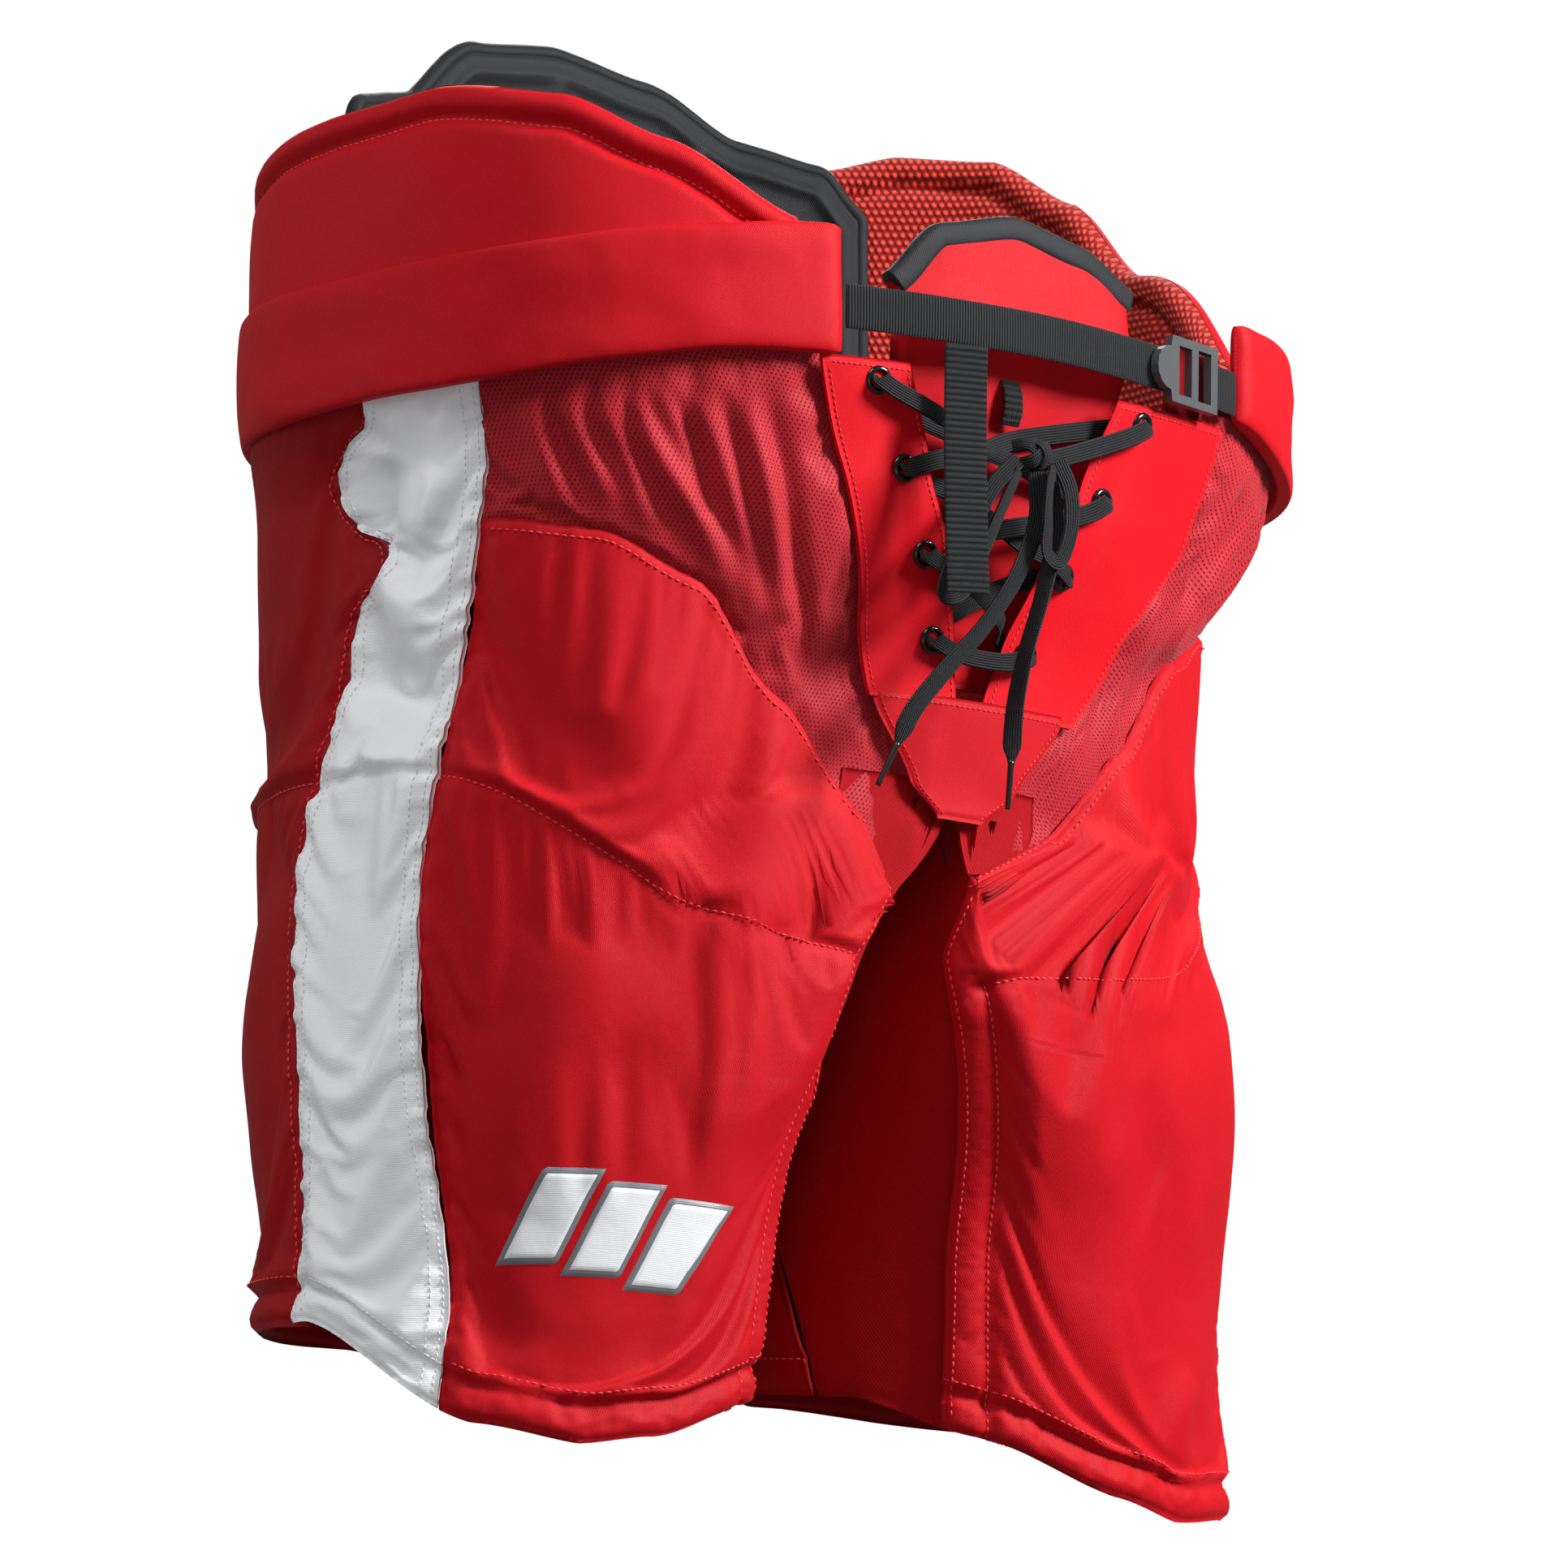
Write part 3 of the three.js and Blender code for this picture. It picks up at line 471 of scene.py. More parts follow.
def stitches(name, patch, path, material, pitch=3.6, length=2.3, r=0.5, lift=0.2, jitter=0.12):
    """A row of short raised threads along (angle, height) stations on a finished panel."""
    _, q = polyline(patch.side, path, 200)
    p = surf(patch.side, q[:, 0], q[:, 1])
    s = np.concatenate([[0], np.cumsum(np.linalg.norm(np.diff(p, axis=0), axis=1))])
    n = int(s[-1] / pitch)
    verts, faces = [], []
    for k in range(n):
        s0 = k * pitch + rng.uniform(-jitter, jitter)
        ends = []
        for ss in (s0, s0 + length / 2, s0 + length):
            a, z = np.interp(ss, s, q[:, 0]), np.interp(ss, s, q[:, 1])
            ends.append(patch.drop(a, z, lift))
        d = ends[2][0] - ends[0][0]
        d = d / max(np.linalg.norm(d), 1e-6)
        base = len(verts)
        for (c, nn), rr in zip(ends, (0.55, 1.0, 0.55)):
            side = np.cross(d, nn)
            lift_mid = nn * (0.25 * r if rr == 1.0 else -0.35 * r)
            for ang in range(6):
                w = math.radians(ang * 60)
                verts.append(c + lift_mid + (side * math.cos(w) + nn * math.sin(w)) * r * rr)
        for ring in range(2):
            for j in range(6):
                a0, a1 = base + ring * 6 + j, base + ring * 6 + (j + 1) % 6
                faces.append((a0, a1, a1 + 6, a0 + 6))
        faces.append(tuple(base + j for j in range(5, -1, -1)))
        faces.append(tuple(base + 12 + j for j in range(6)))
    return mesh_object(name, verts, faces, material=material)


def border(patch, key, inset, cut=0.0, n=40):
    """(angle, height) stations a little inside a border of a panel."""
    P, A, Z = patch.P, patch.A, patch.Z
    if key in ("z0", "z1"):
        P, A, Z = P.transpose(1, 0, 2), A.T, Z.T
    low = key in ("a0", "z0")
    out = []
    for k in np.round(np.linspace(cut, 1 - cut, n) * (len(P) - 1)).astype(int):
        d = np.linalg.norm(P[k] - P[k, 0 if low else -1], axis=-1)
        idx = np.arange(len(d)) if low else np.arange(len(d))[::-1]
        f = np.interp(inset, d[idx], np.arange(len(d)))
        lo = int(f)
        c0, c1 = idx[min(lo, len(d) - 1)], idx[min(lo + 1, len(d) - 1)]
        out.append([G[k, c0] * (1 - f + lo) + G[k, c1] * (f - lo) for G in (A, Z)])
    return out


# ---------- Materials ----------
class Tree:
    def __init__(self, name, rough=0.7, sheen=0.0, metallic=0.0, coat=0.0):
        self.mat = bpy.data.materials.new(name)
        self.mat.use_nodes = True
        self.nt = self.mat.node_tree
        self.bsdf = self.nt.nodes["Principled BSDF"]
        self.bsdf.inputs["Roughness"].default_value = rough
        self.bsdf.inputs["Metallic"].default_value = metallic
        self.bsdf.inputs["Coat Weight"].default_value = coat
        self.bsdf.inputs["Specular IOR Level"].default_value = 0.14 if rough > 0.45 else 0.5
        self.bsdf.inputs["Sheen Weight"].default_value = sheen

    def add(self, kind, **props):
        n = self.nt.nodes.new(kind)
        for k, v in props.items():
            setattr(n, k, v)
        return n

    def link(self, a, b):
        self.nt.links.new(a, b)

    def put(self, sock, v):
        """Link a socket to another one, or give it a value."""
        if isinstance(v, bpy.types.NodeSocket):
            self.link(v, sock)
        else:
            sock.default_value = v if isinstance(v, (int, float)) else (*v, 1)

    def math(self, op, a, b=0.0, c=0.0):
        n = self.add("ShaderNodeMath", operation=op)
        for k, v in enumerate((a, b, c)):
            self.put(n.inputs[k], v)
        return n.outputs[0]

    def uv(self, per_m=1000.0):
        """UV in millimetres, as x and y sockets."""
        tc = self.add("ShaderNodeTexCoord")
        sep = self.add("ShaderNodeSeparateXYZ")
        self.link(tc.outputs["UV"], sep.inputs[0])
        return self.math("MULTIPLY", sep.outputs[0], per_m), self.math("MULTIPLY", sep.outputs[1], per_m)

    def noise(self, scale, detail=3.0, rough=0.55, coords="Object"):
        tc = self.add("ShaderNodeTexCoord")
        n = self.add("ShaderNodeTexNoise")
        for k, v in (("Scale", scale), ("Detail", detail), ("Roughness", rough)):
            n.inputs[k].default_value = v
        self.link(tc.outputs[coords], n.inputs["Vector"])
        return n.outputs[0]

    def ramp(self, fac, stops):
        r = self.add("ShaderNodeValToRGB")
        self.link(fac, r.inputs[0])
        el = r.color_ramp.elements
        while len(el) < len(stops):
            el.new(0.5)
        for e, (pos, col) in zip(el, stops):
            e.position = pos
            e.color = (*col, 1)
        return r.outputs[0]

    def mix(self, fac, a, b):
        m = self.add("ShaderNodeMix", data_type="RGBA", blend_type="MIX")
        for sock, v in ((m.inputs["Factor"], fac), (m.inputs[6], a), (m.inputs[7], b)):
            self.put(sock, v)
        return m.outputs[2]

    def bump(self, height, distance=0.0004, strength=0.6, under=None):
        b = self.add("ShaderNodeBump")
        b.inputs["Distance"].default_value = distance
        b.inputs["Strength"].default_value = strength
        self.link(height, b.inputs["Height"])
        if under is not None:
            self.link(under, b.inputs["Normal"])
        return b.outputs[0]

    def finish(self, color, normal=None, roughness=None):
        self.put(self.bsdf.inputs["Base Color"], color)
        if normal is not None:
            self.link(normal, self.bsdf.inputs["Normal"])
        if roughness is not None:
            self.link(roughness, self.bsdf.inputs["Roughness"])
        return self.mat


def wave(t, coord, pitch):
    """0 to 1 ripple of this pitch (mm) along a coordinate in mm."""
    return t.math("MULTIPLY_ADD", t.math("SINE", t.math("MULTIPLY", coord, 2 * math.pi / pitch)), 0.5, 0.5)


def twill(name, color, dark=0.6, pitch=1.1, sheen=0.06, rough=0.6, bump=0.35):
    t = Tree(name, rough, sheen)
    t.bsdf.inputs["Sheen Roughness"].default_value = 0.45
    t.bsdf.inputs["Sheen Tint"].default_value = (1.0, 0.2, 0.2, 1)
    u, v = t.uv()
    diag = wave(t, t.math("ADD", u, t.math("MULTIPLY", v, 0.62)), pitch)
    cross = wave(t, v, pitch * 0.55)
    weave = t.math("MULTIPLY_ADD", diag, 0.7, t.math("MULTIPLY", cross, 0.3))
    fine = t.noise(900.0, 2.0)
    blotch = t.noise(16.0, 4.0)
    # The raised diagonals of the weave are painted up to 1.2 times brighter, in step with the bump: a painted
    # highlight on the weave.
    col = t.mix(t.math("MULTIPLY", weave, 0.7), color, [c * 1.3 for c in color])
    col = t.mix(t.math("MULTIPLY", fine, 0.5), col, [c * dark for c in color])
    col = t.mix(t.math("MULTIPLY", blotch, 0.2), col, [c * 0.82 for c in color])
    height = t.math("MULTIPLY_ADD", fine, 0.5, weave)
    nrm = t.bump(t.noise(60.0, 3.0), 0.0012, 0.25)
    nrm = t.bump(height, 0.0003, bump, nrm)
    r = t.math("MULTIPLY_ADD", fine, 0.18, rough - 0.09)
    return t.finish(col, nrm, r)


def perforated(name, light, dark):
    """Warp-knit mesh: rows of slanting holes between zigzag ribs."""
    t = Tree(name, 0.6, 0.08)
    u, v = t.uv()
    row = t.math("FLOOR", t.math("DIVIDE", v, 1.9))
    shift = t.math("MULTIPLY", t.math("MODULO", row, 2.0), 0.5)
    fu = t.math("SUBTRACT", t.math("FRACT", t.math("ADD", t.math("DIVIDE", u, 2.3), shift)), 0.5)
    fv = t.math("SUBTRACT", t.math("FRACT", t.math("DIVIDE", v, 1.9)), 0.5)
    fu = t.math("ADD", fu, t.math("MULTIPLY", fv, 0.35))
    d = t.math("SQRT", t.math("ADD", t.math("MULTIPLY", t.math("MULTIPLY", fu, fu), 5.0),
                              t.math("MULTIPLY", t.math("MULTIPLY", fv, fv), 1.6)))
    hole = t.ramp(d, [(0.22, (0, 0, 0)), (0.5, (1, 1, 1))])
    blotch = t.noise(40.0, 3.0)
    # The holes are painted dark as the sheet has none cut: painted shade seen through the holes.
    col = t.mix(hole, dark, light)
    col = t.mix(t.math("MULTIPLY", blotch, 0.3), col, [c * 0.7 for c in light])
    return t.finish(col, t.bump(hole, 0.0006, 0.9))


def honeycomb(name, light, dark, pitch=4.1):
    t = Tree(name, 0.75, 0.1)
    u, v = t.uv()
    rowp = pitch * 0.866
    row = t.math("FLOOR", t.math("DIVIDE", v, rowp))
    shift = t.math("MULTIPLY", t.math("MODULO", row, 2.0), 0.5)
    fu = t.math("SUBTRACT", t.math("FRACT", t.math("ADD", t.math("DIVIDE", u, pitch), shift)), 0.5)
    fv = t.math("SUBTRACT", t.math("FRACT", t.math("DIVIDE", v, rowp)), 0.5)
    d = t.math("SQRT", t.math("ADD", t.math("MULTIPLY", fu, fu), t.math("MULTIPLY", fv, fv)))
    knots = t.noise(1500.0, 2.0, coords="UV")
    cell = t.ramp(t.math("MULTIPLY_ADD", knots, 0.25, d), [(0.25, (1, 1, 1)), (0.58, (0, 0, 0))])
    # The gaps between the cells are painted dark: painted shade in the recesses of the spacer mesh.
    col = t.mix(cell, dark, light)
    return t.finish(col, t.bump(t.math("MULTIPLY_ADD", knots, 0.4, cell), 0.0012, 0.9))


def satin(name, color):
    t = Tree(name, 0.4, 0.1)
    u, v = t.uv()
    thread = wave(t, v, 0.8)
    blotch = t.noise(30.0, 3.0)
    col = t.mix(t.math("MULTIPLY", blotch, 0.25), color, [c * 0.9 for c in color])
    nrm = t.bump(t.noise(220.0, 3.0), 0.0008, 0.2)
    nrm = t.bump(thread, 0.0002, 0.25, nrm)
    return t.finish(col, nrm)


def webbing(name, pitch=1.4, color=(0.010, 0.011, 0.012), depth=0.0005):
    """Ribs across the strap; u runs along it."""
    t = Tree(name, 0.6, 0.04)
    u, v = t.uv()
    rib = wave(t, u, pitch)
    thread = wave(t, t.math("ADD", v, t.math("MULTIPLY", u, 0.5)), 0.8)
    height = t.math("MULTIPLY_ADD", thread, 0.35, rib)
    # The ribs are painted twice as bright on the crests and a third as bright in the grooves, with the bump:
    # painted highlight and painted shade.
    col = t.mix(rib, [c * 0.35 for c in color], [c * 2.0 for c in color])
    col = t.mix(t.math("MULTIPLY", t.noise(700.0), 0.4), col, [c * 1.5 for c in color])
    return t.finish(col, t.bump(height, depth, 0.9))


def lace_mat(name):
    t = Tree(name, 0.62, 0.04)
    u, v = t.uv()
    rib = wave(t, v, 1.15)
    braid = wave(t, t.math("ADD", u, t.math("MULTIPLY", v, 1.0)), 1.3)
    # The ribs of the lace are painted darker in the grooves and lighter on the crests, with the bump: painted
    # shade and painted highlight.
    col = t.mix(rib, (0.003, 0.003, 0.004), (0.022, 0.023, 0.026))
    return t.finish(col, t.bump(t.math("MULTIPLY_ADD", braid, 0.4, rib), 0.0005, 0.9))


def plastic(name, color, rough=0.4, grain=0.15):
    t = Tree(name, rough)
    n = t.noise(900.0, 3.0)
    col = t.mix(t.math("MULTIPLY", t.noise(40.0), 0.4), color, [c * 1.35 for c in color])
    return t.finish(col, t.bump(n, 0.0001, grain), t.math("MULTIPLY_ADD", n, 0.15, rough - 0.06))


RED = (0.50, 0.0012, 0.0075)
M = {
    "twill": twill("red_twill", RED),
    # The fly facing's twill is the same red made 1.3 times brighter: painted light, a lit copy of the red
    # nylon.
    "facing": twill("red_twill_painted_light", [c * 1.3 for c in RED]),
    # The rear, inner and seat panels get the same red made 0.66 times as bright: painted shade, a shaded copy
    # of the red nylon.
    "side": twill("red_twill_painted_shade", [c * 0.66 for c in RED]),
    # The linings inside the legs and hips are the red made 0.4 times as bright: painted shade inside the
    # pants.
    "lining": twill("red_lining_painted_shade", [c * 0.4 for c in RED], rough=0.7),
    "knit": twill("red_knit", [c * 0.7 for c in RED], pitch=1.8, rough=0.8, bump=0.5),
    "thread": twill("red_thread", [0.85, 0.06, 0.07], pitch=0.6, rough=0.5),
    # The dark colour of the mesh is painted shade in its holes.
    "mesh": perforated("red_perforated_mesh", (0.47, 0.012, 0.024), (0.10, 0.002, 0.005)),
    # The dark colour of the spacer mesh is painted shade in the gaps between its cells.
    "honey": honeycomb("orange_spacer_mesh", (0.95, 0.075, 0.045), (0.22, 0.006, 0.004)),
    "white": satin("white_satin", (0.94, 0.95, 0.98)),
    "grey_thread": satin("grey_thread", (0.16, 0.17, 0.18)),
    "white_thread": satin("white_thread", (0.8, 0.82, 0.85)),
    "black": twill("black_nylon", (0.014, 0.015, 0.017), sheen=0.04, rough=0.55, bump=0.4),
    "black_thread": plastic("black_thread", (0.02, 0.02, 0.022), 0.5),
    "strap": webbing("black_webbing", 1.45),
    "tail": webbing("black_webbing_ribbed", 2.85, depth=0.001),
    "lace": lace_mat("black_lace"),
    "plastic": plastic("black_acetal", (0.045, 0.05, 0.055), 0.42),
    "enamel": plastic("black_enamel", (0.006, 0.006, 0.007), 0.12, 0.03),
    "tip": plastic("aglet_film", (0.01, 0.01, 0.011), 0.2, 0.02),
    "foam": plastic("grey_foam", (0.28, 0.30, 0.32), 0.9, 0.6),
}
M["black"].node_tree.nodes["Principled BSDF"].inputs["Sheen Tint"].default_value = (1, 1, 1, 1)

# ---------- Camera, lights, backdrop ----------
scene = bpy.context.scene
scene.view_settings.view_transform = "Standard"
scene.view_settings.look = "None"
AZ, EL, DIST, SPAN = math.radians(-40), math.radians(-11), 9.0, 0.6955
target = Vector((0.010, -0.008, -0.165))
cam_data = bpy.data.cameras.new("camera")
cam = bpy.data.objects.new("camera", cam_data)
scene.collection.objects.link(cam)
view = Vector((math.sin(AZ) * math.cos(EL), -math.cos(AZ) * math.cos(EL), math.sin(EL)))
cam.location = target + view * DIST
cam.rotation_euler = (-view).to_track_quat("-Z", "Y").to_euler()
cam_data.lens = 36.0 * DIST / SPAN
cam_data.clip_end = 80
scene.camera = cam


def area_light(name, az, el, dist, size, power):
    d = bpy.data.lights.new(name, "AREA")
    d.shape, d.size, d.energy = "DISK", size, power
    ob = bpy.data.objects.new(name, d)
    scene.collection.objects.link(ob)
    a, e = math.radians(az), math.radians(el)
    v = Vector((math.sin(a) * math.cos(e), -math.cos(a) * math.cos(e), math.sin(e)))
    ob.location = target + v * dist
    ob.rotation_euler = (-v).to_track_quat("-Z", "Y").to_euler()


area_light("key", 30, 28, 2.1, 0.7, 82)
area_light("fill", -60, 50, 2.4, 1.2, 24)
area_light("low", -40, -20, 2.6, 1.2, 5)
area_light("back", 140, 35, 2.2, 1.2, 22)
area_light("side", -130, 20, 2.4, 1.0, 7)
world = bpy.data.worlds.new("studio")
world.use_nodes = True
world.node_tree.nodes["Background"].inputs[0].default_value = (1, 1, 1, 1)
world.node_tree.nodes["Background"].inputs[1].default_value = 0.2
scene.world = world

floor_mat = bpy.data.materials.new("backdrop")
floor_mat.use_nodes = True
nt = floor_mat.node_tree
nt.nodes.remove(nt.nodes["Principled BSDF"])
em = nt.nodes.new("ShaderNodeEmission")
em.inputs[0].default_value = (1, 1, 1, 1)
em.inputs[1].default_value = 1.0
nt.links.new(em.outputs[0], nt.nodes["Material Output"].inputs[0])
FLOOR_HALF, FLOOR_Z, DOME = 14000, -3000, 26.0
floor = mesh_object("floor", [(x * FLOOR_HALF, y * FLOOR_HALF, FLOOR_Z) for x, y in (
    (-1, -1), (1, -1), (1, 1), (-1, 1))], [(0, 1, 2, 3)], material=floor_mat)
bm = bmesh.new()
bmesh.ops.create_icosphere(bm, subdivisions=4, radius=DOME)
dome_mesh = bpy.data.meshes.new("backdrop_dome")
bm.to_mesh(dome_mesh)
bm.free()
dome_mesh.materials.append(floor_mat)
dome = bpy.data.objects.new("backdrop_dome", dome_mesh)
scene.collection.objects.link(dome)
for ob in (floor, dome):
    ob.visible_diffuse = ob.visible_glossy = ob.visible_shadow = ob.visible_transmission = False

# ---------- Cords ----------
SURF_EYELETS = [(76, -21), (57, -57), (40, -92), (27, -127)]


def on_fly(x, z, offset):
    a = float(angle_at(abs(x), z)) * (1 if x <= 0 else -1)
    side, aa = (RIGHT, a) if a >= 0 else (LEFT, -a)
    return surf(side, aa, z) + normal(side, aa, z) * offset


OVER, UNDER = 4.2, -6.6


def lace_route():
    e1, e2, e3, e4 = SURF_EYELETS
    at = on_fly

    def go(sign, e, inwards):
        return [at(sign * e[0], e[1], o) for o in ((OVER, 0, UNDER) if inwards else (UNDER, 0, OVER))]

    R, L = -1, 1
    return [
        at(-22, -42, 7), at(-50, -31, 5.5), at(-70, -24, 5.5), *go(R, e1, True),
        at(-64, -30, UNDER - 1.5), at(-30, -40, -4), at(8, -48, -5), at(40, -54, UNDER - 1.5),
        *go(L, e2, False), at(46, -63, OVER + 0.5), at(24, -70, 3.2), at(0, -76, 3.2), at(-20, -83, -4.5),
        at(-31, -88, UNDER - 0.5), *go(R, e3, False), at(-28, -97, OVER + 0.5), at(-10, -104, 3.6),
        at(8, -115, 2), at(14, -121, -5), at(20, -125, UNDER - 0.5), *go(L, e4, False),
        at(14, -131, OVER + 0.6), at(-14, -131, OVER + 0.6), *go(R, e4, True),
        at(-20, -122, UNDER - 3.6), at(0, -108, -8.5), at(26, -97, UNDER - 2.8), at(34, -94, UNDER - 1.2),
        *go(L, e3, False), at(28, -86, OVER + 0.3), at(12, -82, 1), at(-4, -74, -3.2), at(-30, -64, -5.5),
        at(-50, -60, UNDER - 1.2), *go(R, e2, False), at(-44, -52, OVER + 0.5), at(-22, -47, 0.5),
        at(6, -38, -9), at(40, -30, UNDER - 3.5), at(66, -24, UNDER - 2), *go(L, e1, False),
        at(66, -26, OVER + 1.5), at(40, -36, 6), at(14, -45, 7),
    ]


LACE_ENDS = {
    "right": [(2, -190, -54), (1, -191, -75), (-8, -189, -100), (-24, -185, -125), (-42, -180, -146),
              (-57, -175, -166), (-64, -172, -182)],
    "left": [(9, -189, -53), (11, -191, -80), (5, -190, -108), (-2, -187, -134), (-5, -183, -158),
             (-5, -180, -184)],
}
LACE_LOOPS = {
    "right": [(-6, -187, -49), (-20, -187, -62), (-32, -186, -82), (-44, -183, -106), (-45, -182, -114),
              (-36, -182, -112), (-24, -184, -92), (-14, -186, -70), (-6, -187, -54)],
    "left": [(9, -196, -49), (15, -197, -62), (15, -197, -80), (9, -196, -94), (3, -196, -92),
             (2, -197, -78), (3, -197, -62), (6, -196, -53)],
}
KNOT = np.array([2.0, -187, -46])
LACE_WIDTH, LACE_THICK = 8.5, 1.9
LOOP_WIDTH = LACE_WIDTH * 0.9


def catmull(points, n):
    pts = np.asarray(points, float)
    apart = np.linalg.norm(np.diff(pts, axis=0), axis=1) > 0.2
    pts = pts[np.concatenate([[True], apart])]
    ext = np.vstack([2 * pts[0] - pts[1], pts, 2 * pts[-1] - pts[-2]])
    t = np.concatenate([[0], np.cumsum(np.linalg.norm(np.diff(ext, axis=0), axis=1) ** 0.5)])
    out = []
    for k in range(1, len(ext) - 2):
        t0, t1, t2, t3 = t[k - 1:k + 3]
        for s in np.linspace(t1, t2, 16, endpoint=False):
            a1 = (t1 - s) / (t1 - t0) * ext[k - 1] + (s - t0) / (t1 - t0) * ext[k]
            a2 = (t2 - s) / (t2 - t1) * ext[k] + (s - t1) / (t2 - t1) * ext[k + 1]
            a3 = (t3 - s) / (t3 - t2) * ext[k + 1] + (s - t2) / (t3 - t2) * ext[k + 2]
            b1 = (t2 - s) / (t2 - t0) * a1 + (s - t0) / (t2 - t0) * a2
            b2 = (t3 - s) / (t3 - t1) * a2 + (s - t1) / (t3 - t1) * a3
            out.append((t2 - s) / (t2 - t1) * b1 + (s - t1) / (t2 - t1) * b2)
    out.append(ext[-2])
    return resample(np.array(out), n)


def ribbon(name, points, width, thick, material, facing, pitch=1.0, taper=None):
    """A flat cord along points; facing(i, t) gives the direction its flat side faces."""
    p = catmull(points, pitch)
    tan = np.gradient(p, axis=0)
    tan /= np.linalg.norm(tan, axis=1, keepdims=True)
    m = len(p)
    sec = 20
    verts, uv = [], []
    s = np.concatenate([[0], np.cumsum(np.linalg.norm(np.diff(p, axis=0), axis=1))])
    for i in range(m):
        out = np.asarray(facing(i / (m - 1), p[i]), float)
        out = out - tan[i] * (out @ tan[i])
        out /= max(np.linalg.norm(out), 1e-6)
        across = np.cross(tan[i], out)
        w = width * (taper(i / (m - 1)) if taper else 1.0)
        for k in range(sec):
            a = 2 * math.pi * k / sec
            c, q = math.cos(a), math.sin(a)
            cx = math.copysign(abs(c) ** 0.55, c)
            cy = math.copysign(abs(q) ** 0.75, q)
            verts.append(p[i] + across * (cx * w / 2) + out * (cy * thick / 2))
            uv.append((s[i] * 0.001, cx * w / 2 * 0.001))
    ob = mesh_object(name, verts, tube_faces(m, sec), uv, material=material)
    return ob, p, s[-1]


def fly_out(t, p):
    """The way the flat of the lacing faces: forwards and a little outwards."""
    return np.array([p[0] * 0.35, -150.0, 12.0])


lacing, lace_path, lace_len = ribbon("lace_lacing", lace_route(), LACE_WIDTH, LACE_THICK, M["lace"],
                                     fly_out)
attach(lacing, "waist")
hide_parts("lacing")


def tube(name, points, radius, material, sides=12, pitch=1.5):
    p = catmull(points, pitch)
    tan = np.gradient(p, axis=0)
    tan /= np.linalg.norm(tan, axis=1, keepdims=True)
    up = np.array([0.0, 0.0, 1.0]) if abs(tan[0][2]) < 0.9 else np.array([1.0, 0, 0])
    verts, uv = [], []
    for i, (c, d) in enumerate(zip(p, tan)):
        up = up - d * (up @ d)
        up /= np.linalg.norm(up)
        side = np.cross(d, up)
        r = radius(i / (len(p) - 1)) if callable(radius) else radius
        for k in range(sides):
            a = 2 * math.pi * k / sides
            verts.append(c + (up * math.cos(a) + side * math.sin(a)) * r)
            uv.append((i * pitch * 0.001, k / sides * 2 * math.pi * r * 0.001))
    return mesh_object(name, verts, tube_faces(len(p), sides), uv, material=material)


for name, _ in SIDES:
    pts = LACE_ENDS[name]
    turn = {"right": 0.9, "left": -0.7}[name]

    def face(t, p, turn=turn):
        a = -0.6 + turn * math.sin(t * 3.0)
        return np.array([math.sin(a) * 1.0, -math.cos(a), 0.1])

    end, ep, elen = ribbon(f"{name}_lace_end_cord", pts, LACE_WIDTH, LACE_THICK, M["lace"], face,
                           taper=lambda t: 1 - 0.65 * ease(0.93, 1.0, t))
    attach(end, "waist")
    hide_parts(f"{name}_lace_end")
    tip = np.array(pts[-1], float)
    down = tip - np.array(pts[-2], float)
    down /= np.linalg.norm(down)
    aglet = tube(f"{name}_aglet_tip", [tip - down * 2, tip + down * 8, tip + down * 19.5],
                 lambda t: 1.45 - 0.25 * t, M["tip"])
    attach(aglet, "waist")
    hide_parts(f"{name}_aglet")
    loop, qp, qlen = ribbon(f"{name}_bow_loop_cord", LACE_LOOPS[name], LOOP_WIDTH, LACE_THICK, M["lace"],
                            lambda t, p: np.array([-0.5 + 1.2 * t, -1.0, 0.1]))
    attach(loop, "waist")
    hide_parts(f"{name}_bow_loop")


def join(name, obs):
    """One object from several that ride alike."""
    bm = bmesh.new()
    bm.loops.layers.uv.new("UVMap")
    slots = []
    for o in obs:
        m = o.data.materials[0]
        if m not in slots:
            slots.append(m)
        before = len(bm.faces)
        bm.from_mesh(o.data)
        bm.faces.ensure_lookup_table()
        for f in bm.faces[before:]:
            f.material_index = slots.index(m)
            f.smooth = True
    me = bpy.data.meshes.new(name)
    bm.to_mesh(me)
    bm.free()
    for m in slots:
        me.materials.append(m)
    ob = bpy.data.objects.new(name, me)
    scene.collection.objects.link(ob)
    for o in obs:
        bpy.data.objects.remove(o, do_unlink=True)
    return ob


# The knot: three short crossing wraps.
K = KNOT
wraps = [
    [K + (-9, 3, 3), K + (-5, -2.5, 4), K + (0, -4, 1), K + (5, -3, -3), K + (8, 2, -5)],
    [K + (9, 2, 4), K + (5, -4.5, 3), K + (0, -5.5, -1), K + (-4, -4, -4), K + (-7, 1, -5)],
    [K + (-2, 1, 6), K + (1, -5, 4), K + (3, -6.5, -1), K + (2, -4.5, -6), K + (0, 0, -8)],
]
knot = join("lace_knot_wraps", [
    ribbon(f"wrap{i}", w, LACE_WIDTH * 0.75, 2.4, M["lace"],
           lambda t, p: np.array([p[0] - K[0], -8.0, p[2] - K[2]]))[0]
    for i, w in enumerate(wraps)])
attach(knot, "waist")
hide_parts("lace_knot")

# ---------- Legs and hips ----------

def keep(ob, body, slot, *replaced):
    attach(ob, body)
    if replaced:
        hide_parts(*replaced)
    return ob


def across_hip(ob, name, slot, *replaced, top=-40, low=-235):
    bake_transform(ob)
    if replaced:
        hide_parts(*replaced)
    return ob


def as_sheet(patch):
    """Work out the cut size of a stretched, sewn-in panel; nothing is done with the result."""
    flat, area = patch.flat_size()


SEAM_ARC = [(97, -188), (78, -196), (66, -206), (55, -221), (43, -238), (32, -253), (14, -263), (-6, -269),
            (-18, -272)]


